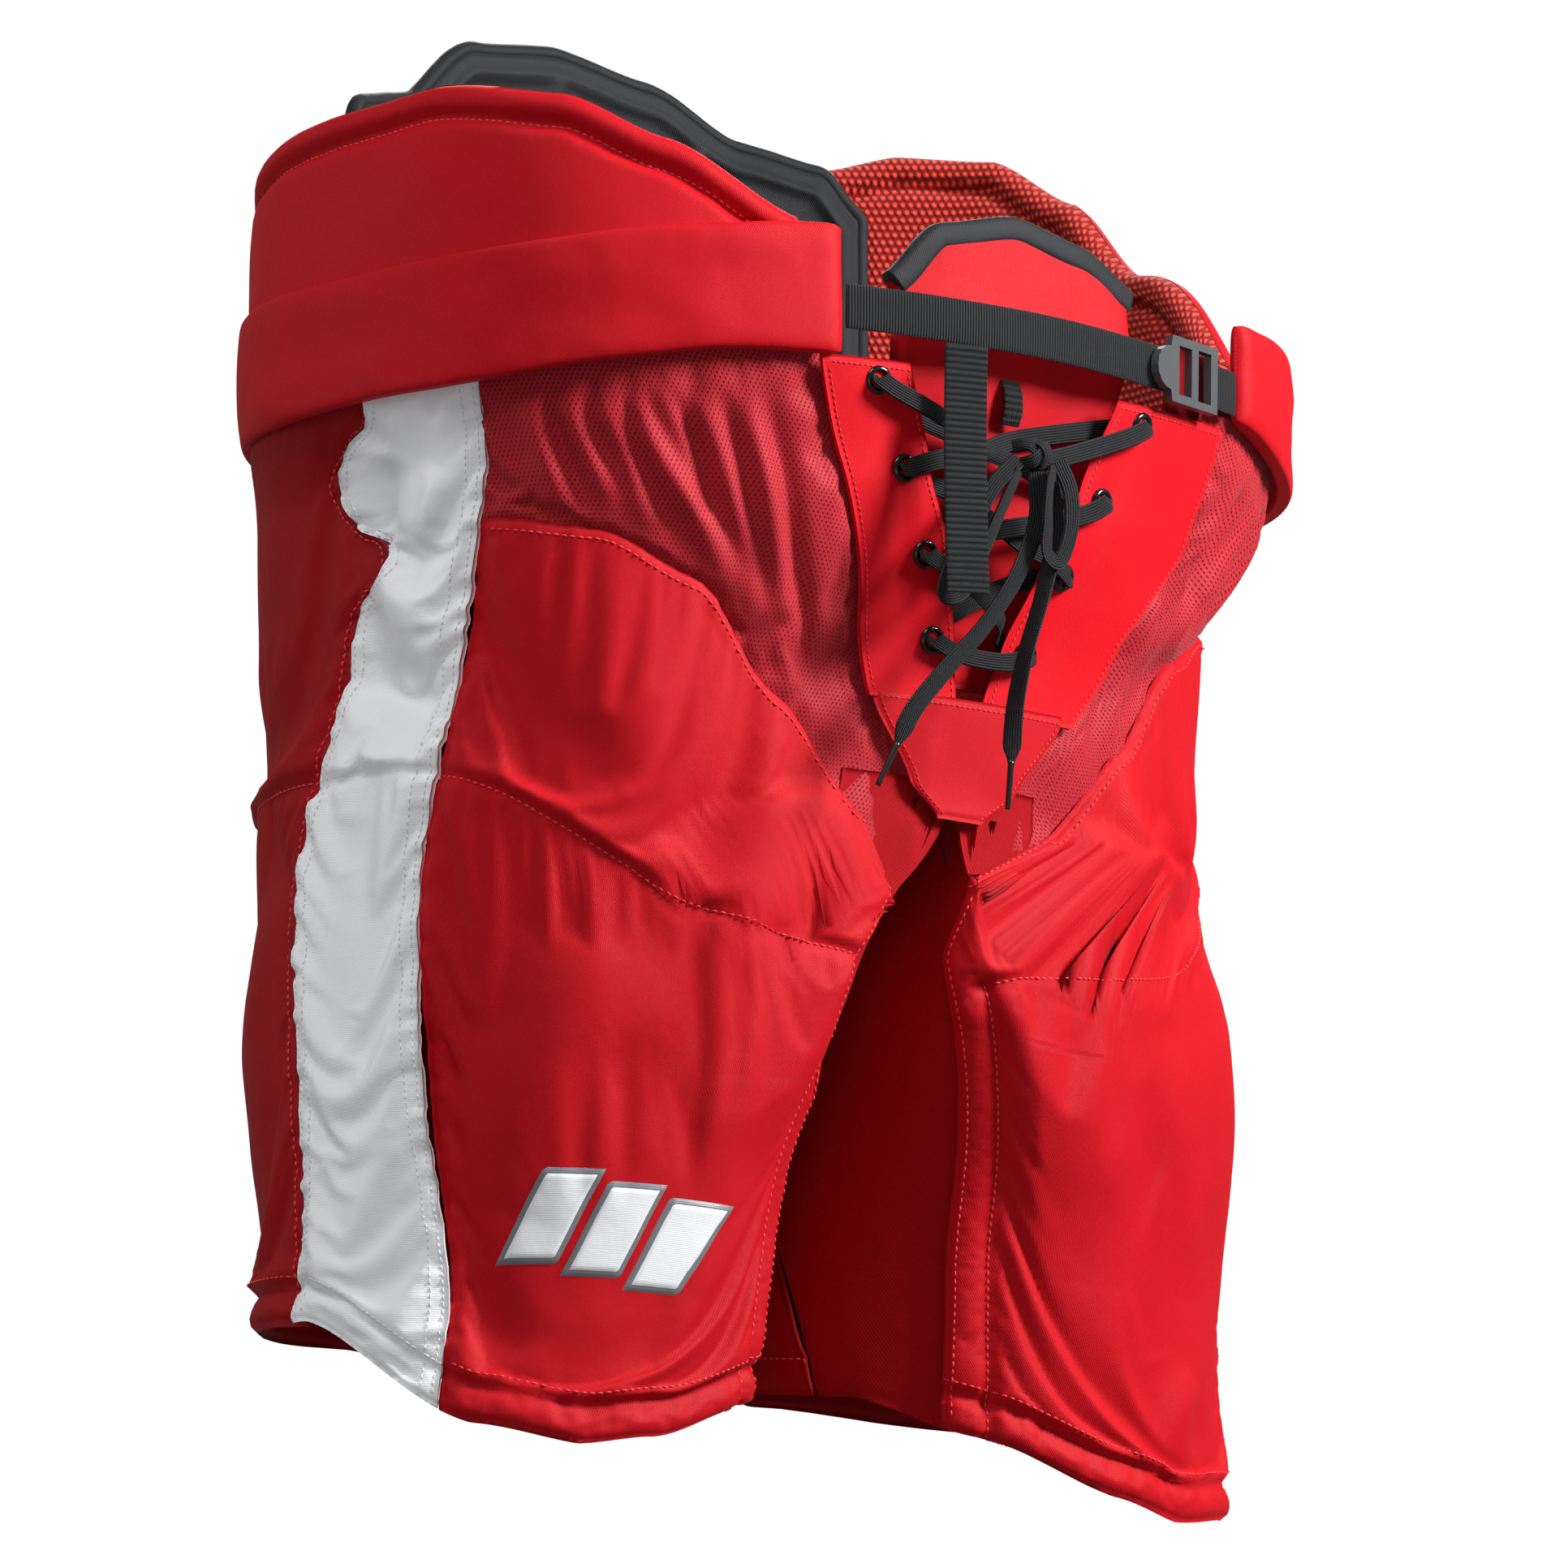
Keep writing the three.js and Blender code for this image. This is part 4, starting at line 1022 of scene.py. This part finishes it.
# Lines of the soft ridges and valleys of each thigh, with their width and depth.
THIGH_FOLDS = {
    RIGHT: [
        ([(66, -100), (56, -130), (40, -190), (34, -215)], 26, 5),
        ([(70, -120), (62, -160), (48, -205)], 16, -4),
        ([(30, -170), (26, -215), (22, -250), (18, -285)], 15, 4),
        ([(40, -160), (36, -205), (33, -240)], 19, -4.5),
        ([(16, -222), (12, -250), (5, -290)], 14, -3.5),
        ([(44, -268), (40, -320), (44, -390)], 24, 4),
        ([(62, -280), (66, -330), (60, -400)], 20, -4),
        ([(55, -380), (47, -425), (36, -455)], 14, -5),
        ([(30, -310), (16, -360), (8, -430)], 22, -3),
        ([(5, -300), (0, -350), (-4, -420)], 14, 3),
    ],
    LEFT: [
        ([(60, -160), (40, -188), (18, -216)], 17, 4.5),
        ([(64, -182), (44, -212), (22, -238)], 16, -4),
        ([(42, -222), (30, -252), (24, -275)], 16, 2),
        ([(18, -240), (8, -262), (-6, -280)], 15, -1.5),
        ([(50, -260), (48, -330), (52, -400)], 22, 4),
        ([(14, -300), (10, -350), (12, -420)], 12, -4),
        ([(26, -420), (20, -450), (26, -478)], 12, 4),
    ],
}


STRIPE_FOLDS = [
    ([(77, -140), (84, -118), (91, -98)], 13, 7),
    ([(76, -168), (85, -150), (93, -140)], 10, -7),
    ([(80, -60), (84, -90)], 10, 5),
    ([(87, -52), (90, -100)], 8, -7),
    ([(78, -200), (90, -180)], 10, 4),
]
REAR_FOLDS = [
    ([(100, -150), (112, -160), (130, -170)], 14, -6),
    ([(99, -110), (108, -125), (124, -130)], 12, 4),
    ([(100, -230), (112, -300), (110, -400)], 26, 6),
]


def cloth_noise(p, amount=1.0, seed=3):
    """Gentle unevenness: broad dents and small crumples."""
    return amount * (2.2 * fbm(p, 85, seed, 2) + 0.5 * fbm(p * (1, 1, 0.6), 24, seed + 5, 2))


def seam_groove(p, side, path, depth=2.2, width=3.4):
    line, _ = polyline(side, path, 80)
    d = nearest(p, line)[0]
    swell = 1.0 * np.exp(-((d - 12) / 9) ** 2)
    return swell - depth * np.exp(-(d / width) ** 2), d


FACING_OUTER = {RIGHT: [[-195, 44], [-120, 66], [0, 108]],
                LEFT: [[-195, 34], [-120, 86], [-67, 124], [0, 136]]}
LAP = 9
STRIPE_SEAM = [(98, -190), (88, -192), (78, -196)]
REAR_SEAM = [(97, -188), (120, -192), (150, -205), (185, -228)]


def sewn(name, patch, lines, thread="thread", pitch=3.6, length=2.3, r=0.5):
    """Rows of stitches on one panel, as one object."""
    return join(name, [stitches(f"{name}_{i}", patch, line, M[thread], pitch, length, r)
                       for i, line in enumerate(lines)])


def make_thigh(name, side):
    thigh = Patch(side, lambda z: front_edge(z, side), stripe_front, hem, thigh_top, GRID["thigh"])
    p = thigh.P
    inside = np.minimum.reduce([thigh.d["a1"], thigh.d["z1"] + 6, thigh.d["a0"] + 4])
    thigh.h += 4.5 * (1 - np.exp(-inside / 22))
    calm = (1 - np.exp(-(thigh.d["z1"] / 12) ** 2)) * (1 - 0.6 * np.exp(-(thigh.d["a0"] / 10) ** 2))
    thigh.h += (cloth_noise(p, 1.2) + 1.25 * folds(p, side, THIGH_FOLDS[side])) * calm
    thigh.h -= 0.9 * np.exp(-((thigh.d["z1"] - 8) / 2.2) ** 2)
    thigh.h += seam_groove(p, side, SEAM_ARC)[0]
    inner_line = [(-18, -272), (-24, -320), (-27, -400), (-28, -470), (-28, -496)]
    thigh.h += seam_groove(p, side, inner_line, 2.4)[0]
    hem_path = hem_row(np.linspace(-37, 53, 14))
    groove, dh = seam_groove(p, side, hem_path, 2.6, 3.0)
    thigh.h += groove
    gather = vnoise(np.stack([thigh.S, thigh.T * 0.1, thigh.S * 0], -1), 6.5, 9)
    thigh.h += 0.7 * gather * np.exp(-(dh / 10) ** 2)
    thigh.seam("a1", 2.6, 5).pucker("a1", 0.9, 9, 12, 4).pucker("z1", 0.7, 10, 10, 5)
    thigh.relax(thigh.seam_pins(SEAM_ARC, inner_line, hem_path), slack=0.014, cap=5.0)
    ob = thigh.object(f"{name}_thigh_shell", M["twill"], THICK["thigh"], free=("z0", "a0", "z1"), radius=5)
    across_hip(ob, name, "red_nylon", f"{name}_thigh_panel")
    across_hip(sewn(f"{name}_thigh_stitching", thigh, [
        SEAM_ARC, inner_line, [(a, z + 5.5) for a, z in hem_path],
        border(thigh, "z1", 5.5, 0.02), border(thigh, "a0", 4.0, 0.03)]), name, "red_nylon")
    return thigh


def make_badge(name, thigh):
    """Three embroidered slanting bars with a grey edge."""
    layers = ((2.2, 0.35, "grey_thread"), (0.0, 0.9, "white_thread"))
    bars = [applique(f"badge_{k}_{mat}", thigh, 3.0 + 15 * k, 6.0, -397 + 5 * (k - 1), 19, 0.2, grow, lift,
                     M[mat]) for k in range(3) for grow, lift, mat in layers]
    across_hip(join("thigh_badge", bars), name, "white_stripe")


def make_stripe(name, side):
    stripe = Patch(side, stripe_front, stripe_back, hem, lambda a: belt_lift(a) - 22, GRID["stripe"])
    stripe.h += 1.2 + 2.0 * fbm(stripe.P * (1, 1, 0.5), 40, 11, 2)
    stripe.h += folds(stripe.P, side, STRIPE_FOLDS)
    for k, sd in (("a0", 21), ("a1", 22)):
        stripe.seam(k, 1.6, 4).pucker(k, 1.5, 8.0, 11, sd)
    stripe.h += seam_groove(stripe.P, side, STRIPE_SEAM, 2.6)[0]
    stripe.h += seam_groove(stripe.P, side, hem_row((52, 60, 70, 80, 90, 96)), 2.4, 2.6)[0]
    stripe.relax(stripe.seam_pins(STRIPE_SEAM), 1.0, 0.024, cap=3.0)
    ob = stripe.object(f"{name}_side_stripe_satin", M["white"], THICK["stripe"], free=("z0",), radius=3)
    across_hip(ob, name, "white_stripe", f"{name}_side_stripe")
    as_sheet(stripe)
    lines = [border(stripe, key, inset, 0.01, 60) for inset in (2.6, 8.5) for key in ("a0", "a1")]
    lines.append(hem_row((53, 60, 70, 80, 90, 95), HEM_BAND + 3))
    across_hip(sewn(f"{name}_stripe_stitching", stripe, lines, "white_thread", 3.2, 2.2, 0.34),
               name, "white_stripe")


def make_rear(name, side):
    rear = Patch(side, stripe_back, 190.0, hem,
                 lambda a: along([[152, -20], [168, -56], [178, -195], [181, -222]], a), GRID["rear"])
    rear.h += 4.0 * (1 - np.exp(-np.minimum(rear.d["a0"], rear.d["a1"]) / 24)) + cloth_noise(rear.P, 1.3, 31)
    rear.h += folds(rear.P, side, REAR_FOLDS)
    rear.h += seam_groove(rear.P, side, REAR_SEAM, 2.6)[0]
    hem_path = hem_row(np.linspace(95, 190, 14))
    rear.h += seam_groove(rear.P, side, hem_path, 2.6, 3)[0]
    rear.seam("a0", 2.4, 5).pucker("a0", 0.8, 9, 11, 33).seam("a1", 2, 4)
    rear.relax(rear.seam_pins(REAR_SEAM, hem_path), slack=0.015, cap=5.0)
    # The darker twill here is painted shade: the same red nylon made darker.
    ob = rear.object(f"{name}_rear_shell", M["side"], THICK["rear"], free=("z0", "z1"), radius=5)
    across_hip(ob, name, "red_nylon", f"{name}_rear_panel", f"{name}_rear_yoke")
    across_hip(sewn(f"{name}_rear_stitching", rear, [
        [(97.5, -188)] + REAR_SEAM[1:], [(a, z + 5.5) for a, z in hem_path],
        border(rear, "a0", 4, 0.02, 60)]), name, "red_nylon")


def make_inner(name, side):
    inner = Patch(side, 190.4, inner_seam, hem, LEG_TOP_INSIDE, GRID["inner"])
    inner.h += cloth_noise(inner.P, 0.9, 41) - 1
    hem_path = hem_row(np.linspace(192, 294, 12))
    inner.h += seam_groove(inner.P, side, hem_path, 1.8, 2.6)[0]
    inner.seam("a0", 1.5).seam("a1", 1.5)
    # The darker twill here is painted shade: the same red nylon made darker.
    ob = inner.object(f"{name}_inner_shell", M["side"], THICK["inner"], free=("z0",), radius=2)
    across_hip(ob, name, "red_nylon", f"{name}_inner_panel")
    as_sheet(inner)
    across_hip(stitches(f"{name}_inner_stitching", inner, hem_path, M["thread"]), name, "red_nylon")


def make_gusset(name, side):
    """The ribbed gusset of the inner front, and the small apron that closes it towards the fly."""
    gusset = Patch(side, inner_seam, lambda z: np.minimum(360 + front_edge(z, side) + 3, 359.4), hem,
                   LEG_TOP_INSIDE, GRID["gusset"])
    gusset.h += cloth_noise(gusset.P, 0.8, 51) - 6
    ob = gusset.object(f"{name}_knit_gusset_rib", M["knit"], THICK["gusset"], free=("z0",), radius=1.5)
    across_hip(ob, name, "red_knit", f"{name}_knit_gusset")
    as_sheet(gusset)

    reach = [[-250, 1.5], [-230, 8], [-205, 16]] if side == RIGHT else [[-236, 1.5], [-222, 9], [-200, 12]]
    apron = Patch(side, 0.6, lambda z: along(reach, z), reach[0][0], -186.0, GRID["apron"])
    apron.h += 0.8 * fbm(apron.P, 30, 57, 2) - 4
    across_hip(apron.object(f"{name}_gusset_apron", M["knit"], THICK["apron"]), name, "red_knit")


def make_vent(name, side):
    outer_x = FACING_OUTER[side]
    vent = Patch(side, lambda z: angle_at(along(outer_x, z) - LAP, z), 76.0,
                 lambda a: thigh_top(a) - 5, lambda a: belt_lift(a) - 20, GRID["vent"])
    q = vent.P
    under = 1 - ease(-1, 7, np.abs(q[..., 0]) - along(outer_x, vent.Z))
    vent.h += 1.2 * fbm(q, 40, 61, 2) - 2.5
    rays = [(-34, 66, 60, -84), (-34, 56, 47, -92), (-33, 48, 36, -112), (-32, 42, 30, -134),
            (-32, 36, 24, -160), (-32, 61, 54, -78), (-33, 52, 42, -86)]
    for k, (z_top, a_top, a_low, z_low) in enumerate(rays):
        h = 5.0 if k % 2 == 0 else 3.6
        a_mid, z_mid = (a_top + a_low) / 2, (z_top + z_low) / 2
        vent.h += fold(q, side, [(a_top, z_top), (a_mid + 1, z_mid), (a_low, z_low)], 5.5, h)
        vent.h += fold(q, side, [(a_top - 3.2, z_top), (a_mid - 2.2, z_mid), (a_low - 3, z_low)], 4.5, -h)
    vent.h = vent.h * (1 - under) - 5.5 * under
    vent.relax(np.maximum(vent.seam_pins(), under), 0.5, 0.03, cap=3.5)
    ob = vent.object(f"{name}_vent_mesh", M["mesh"], THICK["vent"])
    across_hip(ob, name, "red_mesh", f"{name}_mesh_vent")
    as_sheet(vent)


for name, side in SIDES:
    thigh = make_thigh(name, side)
    if side == RIGHT:
        make_badge(name, thigh)
    for make in (make_stripe, make_rear, make_inner, make_gusset, make_vent):
        make(name, side)

# ---------- Seat and crotch ----------
for name, side in SIDES:
    seat = Patch(side, lambda z: along([[-207, 176], [-150, 166], [-31, 156]], z), 180.0, -208.0, -22.0,
                 GRID["seat"])
    seat.h += cloth_noise(seat.P, 0.8, 71) + 3.5
    seat.seam("a0", 2.0)
    # The darker twill here is painted shade: the same red nylon made darker.
    ob = seat.object(f"{name}_seat_shell", M["side"], THICK["seat"], free=("z0",), radius=3)
    keep(ob, "waist", "red_nylon", *(["seat_panel"] if side == RIGHT else []))
    st = stitches(f"{name}_seat_stitching", seat, border(seat, "a0", 4, 0.03), M["thread"])
    keep(st, "waist", "red_nylon")

CROTCH_FRONT, CROTCH_BACK, CROTCH_HALF = -128, 165, 14
rows, cols = 60, 16
yy, xx = np.meshgrid(np.linspace(CROTCH_FRONT, CROTCH_BACK, rows),
                     np.linspace(-CROTCH_HALF, CROTCH_HALF, cols), indexing="ij")
t = (yy - CROTCH_FRONT) / (CROTCH_BACK - CROTCH_FRONT)
zz = -194 - 6 * np.sin(np.pi * t) - 0.004 * xx ** 2 + 1.2 * fbm(np.stack([xx, yy, 0 * xx], -1), 30, 81, 2)
top = leaned(np.stack([xx, yy, zz], -1)).reshape(-1, 3)
uv = np.stack([xx, yy], -1).reshape(-1, 2) * 0.001
ob = mesh_object("crotch_knit", np.concatenate([top, top - (0, 0, THICK["crotch"])]),
                 closed_faces(rows, cols, False).tolist(), np.concatenate([uv, uv]), material=M["knit"])
keep(ob, "waist", "red_knit", "crotch_gusset")

# ---------- Fly ----------
FACING_INNER = [[-150, 8], [-127, 14], [-92, 26], [-57, 43], [-4, 62]]
# Radius and height of the corners of an eyelet's section.
EYELET = [(3.7, -3.9), (3.7, 1.2), (4.0, 1.75), (4.8, 2.05), (5.7, 1.75), (6.3, 1.1), (6.4, 0.6), (4.7, 0.5),
          (4.7, -3.0), (6.0, -3.0), (6.0, -3.9)]


def make_facing(name, side):
    facing = Patch(side, lambda z: angle_at(along(FACING_INNER, z), z),
                   lambda z: angle_at(along(FACING_OUTER[side], z), z), -154.0, -12.0, GRID["facing"])
    facing.h += 0.5 + 1.0 * fbm(facing.P, 50, 91, 2)
    facing.h += fold(facing.P, side, [(17, -30), (14, -80), (9, -140)], 7, -1.5)
    # The facing's brighter twill is painted light on the same red nylon.
    ob = facing.object(f"{name}_facing_shell", M["facing"], THICK["facing"], free=("a0", "z1"), radius=2)
    keep(ob, "waist", "red_nylon", f"{name}_fly_facing")
    as_sheet(facing)
    keep(sewn(f"{name}_facing_stitching", facing, [
        border(facing, "a0", 3.5, 0.02), border(facing, "z1", 3.5, 0.03), border(facing, "a1", 3, 0.02)],
        "thread", 3.0, 2.0, 0.32), "waist", "red_nylon")


def make_eyelets(name, side):
    for i, (x, z) in enumerate(SURF_EYELETS):
        a = float(angle_at(x, z))
        c, nn = surf(side, a, z), normal(side, a, z)
        nn = nn / np.linalg.norm(nn)
        tx = np.cross([0, 0, 1], nn)
        tx /= np.linalg.norm(tx)
        ty = np.cross(nn, tx)
        turns, m = 40, len(EYELET)
        verts, faces = [], []
        for k in range(turns):
            w = 2 * math.pi * k / turns
            here, there = k * m, (k + 1) % turns * m
            for j, (r, h) in enumerate(EYELET):
                verts.append(c + tx * r * math.cos(w) + ty * r * math.sin(w) + nn * h)
                faces.append((here + j, here + (j + 1) % m, there + (j + 1) % m, there + j))
        eye = mesh_object(f"{name}_eyelet_ring_{i + 1}", verts, faces, material=M["enamel"])
        keep(eye, "waist", "eyelet_enamel", f"{name}_eyelet_{i + 1}")


for name, side in SIDES:
    make_facing(name, side)
    make_eyelets(name, side)

shield_half = [[-204, 12], [-188, 30], [-154, 54]]
sh = Patch(WHOLE, lambda z: -angle_at(along(shield_half, z), z), lambda z: angle_at(along(shield_half, z), z),
           -203.0, -150.0, GRID["shield"])
sh.h += 2.0 + 1.0 * fbm(sh.P, 40, 95, 2)
shield = sh.object("shield_face", M["twill"], THICK["shield"], free=("a0", "a1", "z0", "z1"), radius=2)
shield = join("fly_shield_shell", [shield] + [
    stitches(f"shield_st{i}", sh, border(sh, k, 3.5, 0.02), M["thread"], 3.0, 2.0, 0.32)
    for i, k in enumerate(("z1", "a0", "a1"))])
keep(shield, "waist", "red_nylon", "fly_shield")
as_sheet(sh)


def tongue_top(a):
    return along([[-21, 40], [-12, 55], [-2, 62], [8, 54], [15, 28]], a)


tp = Patch(WHOLE, lambda z: -angle_at(along([[-145, 26], [-60, 60], [20, 84]], z), z),
           lambda z: angle_at(along([[-145, 26], [-60, 58], [10, 62]], z), z), -145.0, tongue_top,
           GRID["tongue"])
tp.h += 1.2 * fbm(tp.P, 60, 101, 2) + 1.5 * (1 - np.exp(-tp.d["z1"] / 14))
tp.h += fold(tp.P, WHOLE, [(4, 30), (6, -20), (5, -70)], 16, 2) \
    + fold(tp.P, WHOLE, [(-12, 40), (-10, -10), (-6, -60)], 14, -1.8)
tongue = tp.object("tongue_shell", M["twill"], THICK["tongue"], free=("a0", "a1", "z1"), radius=4,
                   offset=-TONGUE_DEPTH)
keep(tongue, "tongue", "red_nylon", "tongue")
edge = []
for a in np.linspace(-20.4, 14.4, 24):
    side, aa = (RIGHT, a) if a >= 0 else (LEFT, -a)
    z = float(tongue_top(a)) + 1.0
    edge.append(surf(side, aa, z - 4) + normal(side, aa, z - 4) * -18.2)
bind, _, _ = ribbon("tongue_binding_tape", edge, 12.5, 9.0, M["black"],
                    lambda t, p: np.array([p[0] * 0.4, -170.0, 10]), 1.5)
keep(bind, "tongue", "black_nylon", "tongue_binding")

kp = on_fly(4, -22, -11)
KEEPER_BEND = [(0.5, 10), (-2, 5), (-2.5, 0), (-2, -5), (0.5, -10)]
keeper, _, _ = ribbon("lace_keeper_loop", [kp + (0, y, z) for y, z in KEEPER_BEND], 10.5, 1.6, M["tail"],
                      lambda t, p: np.array([0, -1.0, 0.0]))
keep(keeper, "tongue", "black_webbing", "lace_keeper")

# ---------- Waist: belt sleeves, kidney pads, spine pad ----------
BELT_ENDS = {"right": 24, "left": 36}
BELT_SLIM = {"right": 1.0, "left": 0.78}


def band(name, side, a0, a1, material, out=1.6, slim=1.0):
    """A padded sleeve: a rounded flat section carried round the waist."""
    n = int((a1 - a0) * MM_PER_DEGREE / 2.4)
    A = np.linspace(a0, a1, n)
    zc = belt_lift(A)
    c, nn = surf(side, A, zc), normal(side, A, zc)
    nn = nn * (1, 1, 0)
    nn /= np.linalg.norm(nn, axis=1, keepdims=True)
    sec = 56
    verts, uv = [], []
    arc = np.concatenate([[0], np.cumsum(np.linalg.norm(np.diff(c, axis=0), axis=1))])
    fbs = fbm(np.stack([arc, arc * 0, arc * 0 + 9], -1), 60, 111, 2)
    for i in range(n):
        endd = min(arc[i], arc[-1] - arc[i] + 6)
        fe = math.sqrt(max(0.0, 1 - (1 - min(endd / 9, 1)) ** 2)) * 0.85 + 0.15
        for k in range(sec):
            w = 2 * math.pi * k / sec
            cx, cy = math.cos(w), math.sin(w)
            px = math.copysign(abs(cx) ** 0.35, cx)
            py = math.copysign(abs(cy) ** 0.6, cy)
            hw = (BELT_WIDTH / 2 - 0.5 + 0.8 * fbs[i]) * (slim + (1 - slim) * ease(0, 60, arc[i]))
            up = py * hw * (0.94 + 0.06 * fe)
            verts.append(c[i] + np.array([0, 0, 1]) * up + nn[i] * (out + px * 4.6 * fe))
            uv.append((arc[i] * 0.001 * side, py * hw * 0.001))
    verts = np.array(verts).reshape(n, sec, 3)
    dv = 1.6 * fbm(verts * (1, 1, 1.6), 55, 113, 2) + 0.5 * fbm(verts, 18, 117, 2)
    mask = np.array([max(0.0, math.cos(2 * math.pi * k / sec)) for k in range(sec)]) ** 0.5
    verts = verts + nn[:, None, :] * (dv * mask)[..., None]
    return mesh_object(name, verts.reshape(-1, 3), tube_faces(n, sec, side < 0), uv, material=material)


for name, side in SIDES:
    ob = band(f"{name}_belt_cover", side, BELT_ENDS[name], 180, M["twill"], slim=BELT_SLIM[name])
    keep(ob, "waist", "red_nylon", f"{name}_belt_sleeve")

KIDNEY = {
    "right": (28, 146, [[28, 48], [45, 80], [60, 100], [80, 109], [95, 105], [120, 94], [135, 86],
                        [146, 66]]),
    "left": (78, 150, [[78, 46], [90, 98], [101, 138], [115, 162], [130, 165], [141, 157], [150, 130]]),
}
for name, side in SIDES:
    a0, a1, tops = KIDNEY[name]
    kp = Patch(side, a0, a1, lambda a: 14 + belt_lift(a), lambda a, t=tops: along(t, a), GRID["kidney"])
    d = np.minimum.reduce([kp.d["z1"], kp.d["a0"], kp.d["a1"]])
    roll = np.sqrt(np.clip(1 - (1 - np.clip(d / 8, 0, 1)) ** 2, 0, 1))
    groove = np.exp(-((d - 15) / 3.0) ** 2)
    puff = 1 - np.exp(-np.clip(d - 15, 0, 99) / 14)
    ripple = vnoise(np.stack([kp.S, kp.S * 0, kp.S * 0], -1), 5.0, 127) * np.exp(-((d - 15) / 6) ** 2)
    out_h = -10 + 10 * roll - 5.0 * groove + 2.4 * puff + 1.6 * fbm(kp.P, 60, 121, 2) + 0.5 * ripple
    in_h = -11 - 9 * roll + 5.5 * groove - 1.8 * puff - 1.4 * fbm(kp.P, 45, 125, 2) + 0.6 * ripple
    rows, cols = kp.u.shape
    outer, middle, inner = ((kp.P + kp.N * h[..., None]).reshape(-1, 3) for h in (
        out_h, out_h / 2 + in_h / 2, in_h))
    uv = np.stack([kp.S, kp.T], -1).reshape(-1, 2) * 0.001
    cover = mesh_object(f"{name}_kidney_shell", np.concatenate([outer, middle]),
                        closed_faces(rows, cols, side > 0).tolist(), np.concatenate([uv, uv]),
                        material=M["twill"])
    keep(cover, "waist", "red_nylon", f"{name}_kidney_cover", f"{name}_kidney_foam")
    lin = mesh_object(f"{name}_kidney_spacer", inner, grid_faces(rows, cols, 0, side < 0).tolist(), uv,
                      material=M["honey"])
    keep(lin, "waist", "orange_lining", f"{name}_kidney_lining")
    kp.tree = BVHTree.FromPolygons(outer.tolist(), grid_faces(rows, cols, 0, side > 0).tolist())
    top_line = border(kp, "z1", 16.5, 0.03, 60)
    st = stitches(f"{name}_kidney_stitching", kp, top_line, M["thread"])
    keep(st, "waist", "red_nylon")


def spine_top(a):
    return along([[136, 112], [142, 146], [154, 154], [166, SPINE_RISE - 6], [180, SPINE_RISE],
                  [194, SPINE_RISE - 10], [206, 160], [218, 152], [224, 130]], a)


sp = Patch(WHOLE, 136.0, 224.0, 37.0, spine_top, GRID["spine"])
d = np.minimum.reduce([sp.d["z1"], sp.d["a0"], sp.d["a1"]])
sp.h += -2.2 * np.exp(-((d - 11) / 2.5) ** 2) + 1.6 * (1 - np.exp(-np.clip(d - 11, 0, 99) / 12)) \
    + 1.0 * fbm(sp.P, 50, 131, 2)
for a_rib in (160, 180, 200):
    sp.h -= 2.2 * np.exp(-(sp.A - a_rib) ** 2) * (d > 14)
spine_obs = [sp.object("spine_face", M["black"], THICK["spine"], free=("z1", "a0", "a1"), radius=5,
                       offset=-SPINE_DEPTH)]
rows = sp.u.shape[0]
outline = [sp.outer[k, 0] for k in range(0, rows, 4)] + list(sp.outer[-1, ::4]) \
    + [sp.outer[k, -1] for k in range(rows - 1, 0, -4)]
spine_obs.append(tube("spine_edge", outline, 3.6, M["black"], 10, 2.0))
spine_obs.append(stitches("spine_st", sp, border(sp, "z1", 7, 0.02, 80), M["black_thread"], 3.2, 2.1, 0.4))
spine = join("spine_pad_shell", spine_obs)
keep(spine, "spine_pad", "black_nylon", "spine_pad")

# ---------- Inner lining, so the shell has an inside ----------
for name, side in SIDES:
    li = Patch(side, LEG_LINING_START, LEG_LINING_END, lambda a: hem(a) + 14, -200.0, GRID["lining"])
    li.h += -LEG_LINING_DEPTH + 1.5 * fbm(li.P, 50, 141, 2)
    # The darkened lining twill is painted shade inside the leg.
    ob = li.object(f"{name}_leg_lining", M["lining"], THICK["lining"])
    across_hip(ob, name, "red_nylon", f"{name}_thigh_cap", f"{name}_thigh_foam", f"{name}_hip_foam", low=-270)
    li = Patch(side, 30.0, 180.0, -200.0, 26.0, GRID["lining"])
    li.h += -HIP_LINING_DEPTH + 1.5 * fbm(li.P, 50, 145, 2)
    # The hip lining uses the same darkened twill: painted shade.
    ob = li.object(f"{name}_hip_lining", M["lining"], THICK["lining"])
    keep(ob, "waist", "red_nylon", *(["tailbone_guard"] if side == RIGHT else []))

# ---------- Strap, buckle, tail ----------


def strap_height(a):
    return along([[-36, 4], [-25, 5], [0, 8], [24, 9]], a)


def strap_point(a, offset):
    side, aa = (RIGHT, a) if a >= 0 else (LEFT, -a)
    z = float(strap_height(a))
    n = normal(side, aa, z) * (1, 1, 0)
    return surf(side, aa, z) + n / np.linalg.norm(n) * offset, n / np.linalg.norm(n)


def strap_face(t, p):
    return np.array([p[0] * 0.5, -170.0, 0.0])


pts = [strap_point(a, 2.4 + 1.0 * math.sin((a + 20) * 0.07))[0] for a in np.linspace(23.4, -21.5, 20)]
main, _, _ = ribbon("waist_strap_webbing", pts, WEBBING_WIDTH, 1.7, M["strap"], strap_face, 1.2)
keep(main, "waist", "black_webbing", "waist_strap")
pts = [strap_point(a, 2.4)[0] for a in np.linspace(-28.5, -35.6, 6)]
anch, _, _ = ribbon("anchor_strap_webbing", pts, WEBBING_WIDTH, 1.7, M["strap"], strap_face, 1.2)
keep(anch, "waist", "black_webbing", "anchor_strap")
tp = [np.array([-42.0 + 0.8 * math.sin(z / 30), -194, z]) for z in np.linspace(-4, -114, 12)]
tail, _, _ = ribbon("strap_tail_webbing", tp, WEBBING_WIDTH, 2.0, M["tail"],
                    lambda t, p: np.array([-math.sin(math.radians(20)), -math.cos(math.radians(20)), 0]), 0.7)
keep(tail, "strap_tail", "black_webbing", "strap_tail")

buckle = bpy.data.objects["buckle"]
for s in buckle.material_slots:
    s.material = M["plastic"]
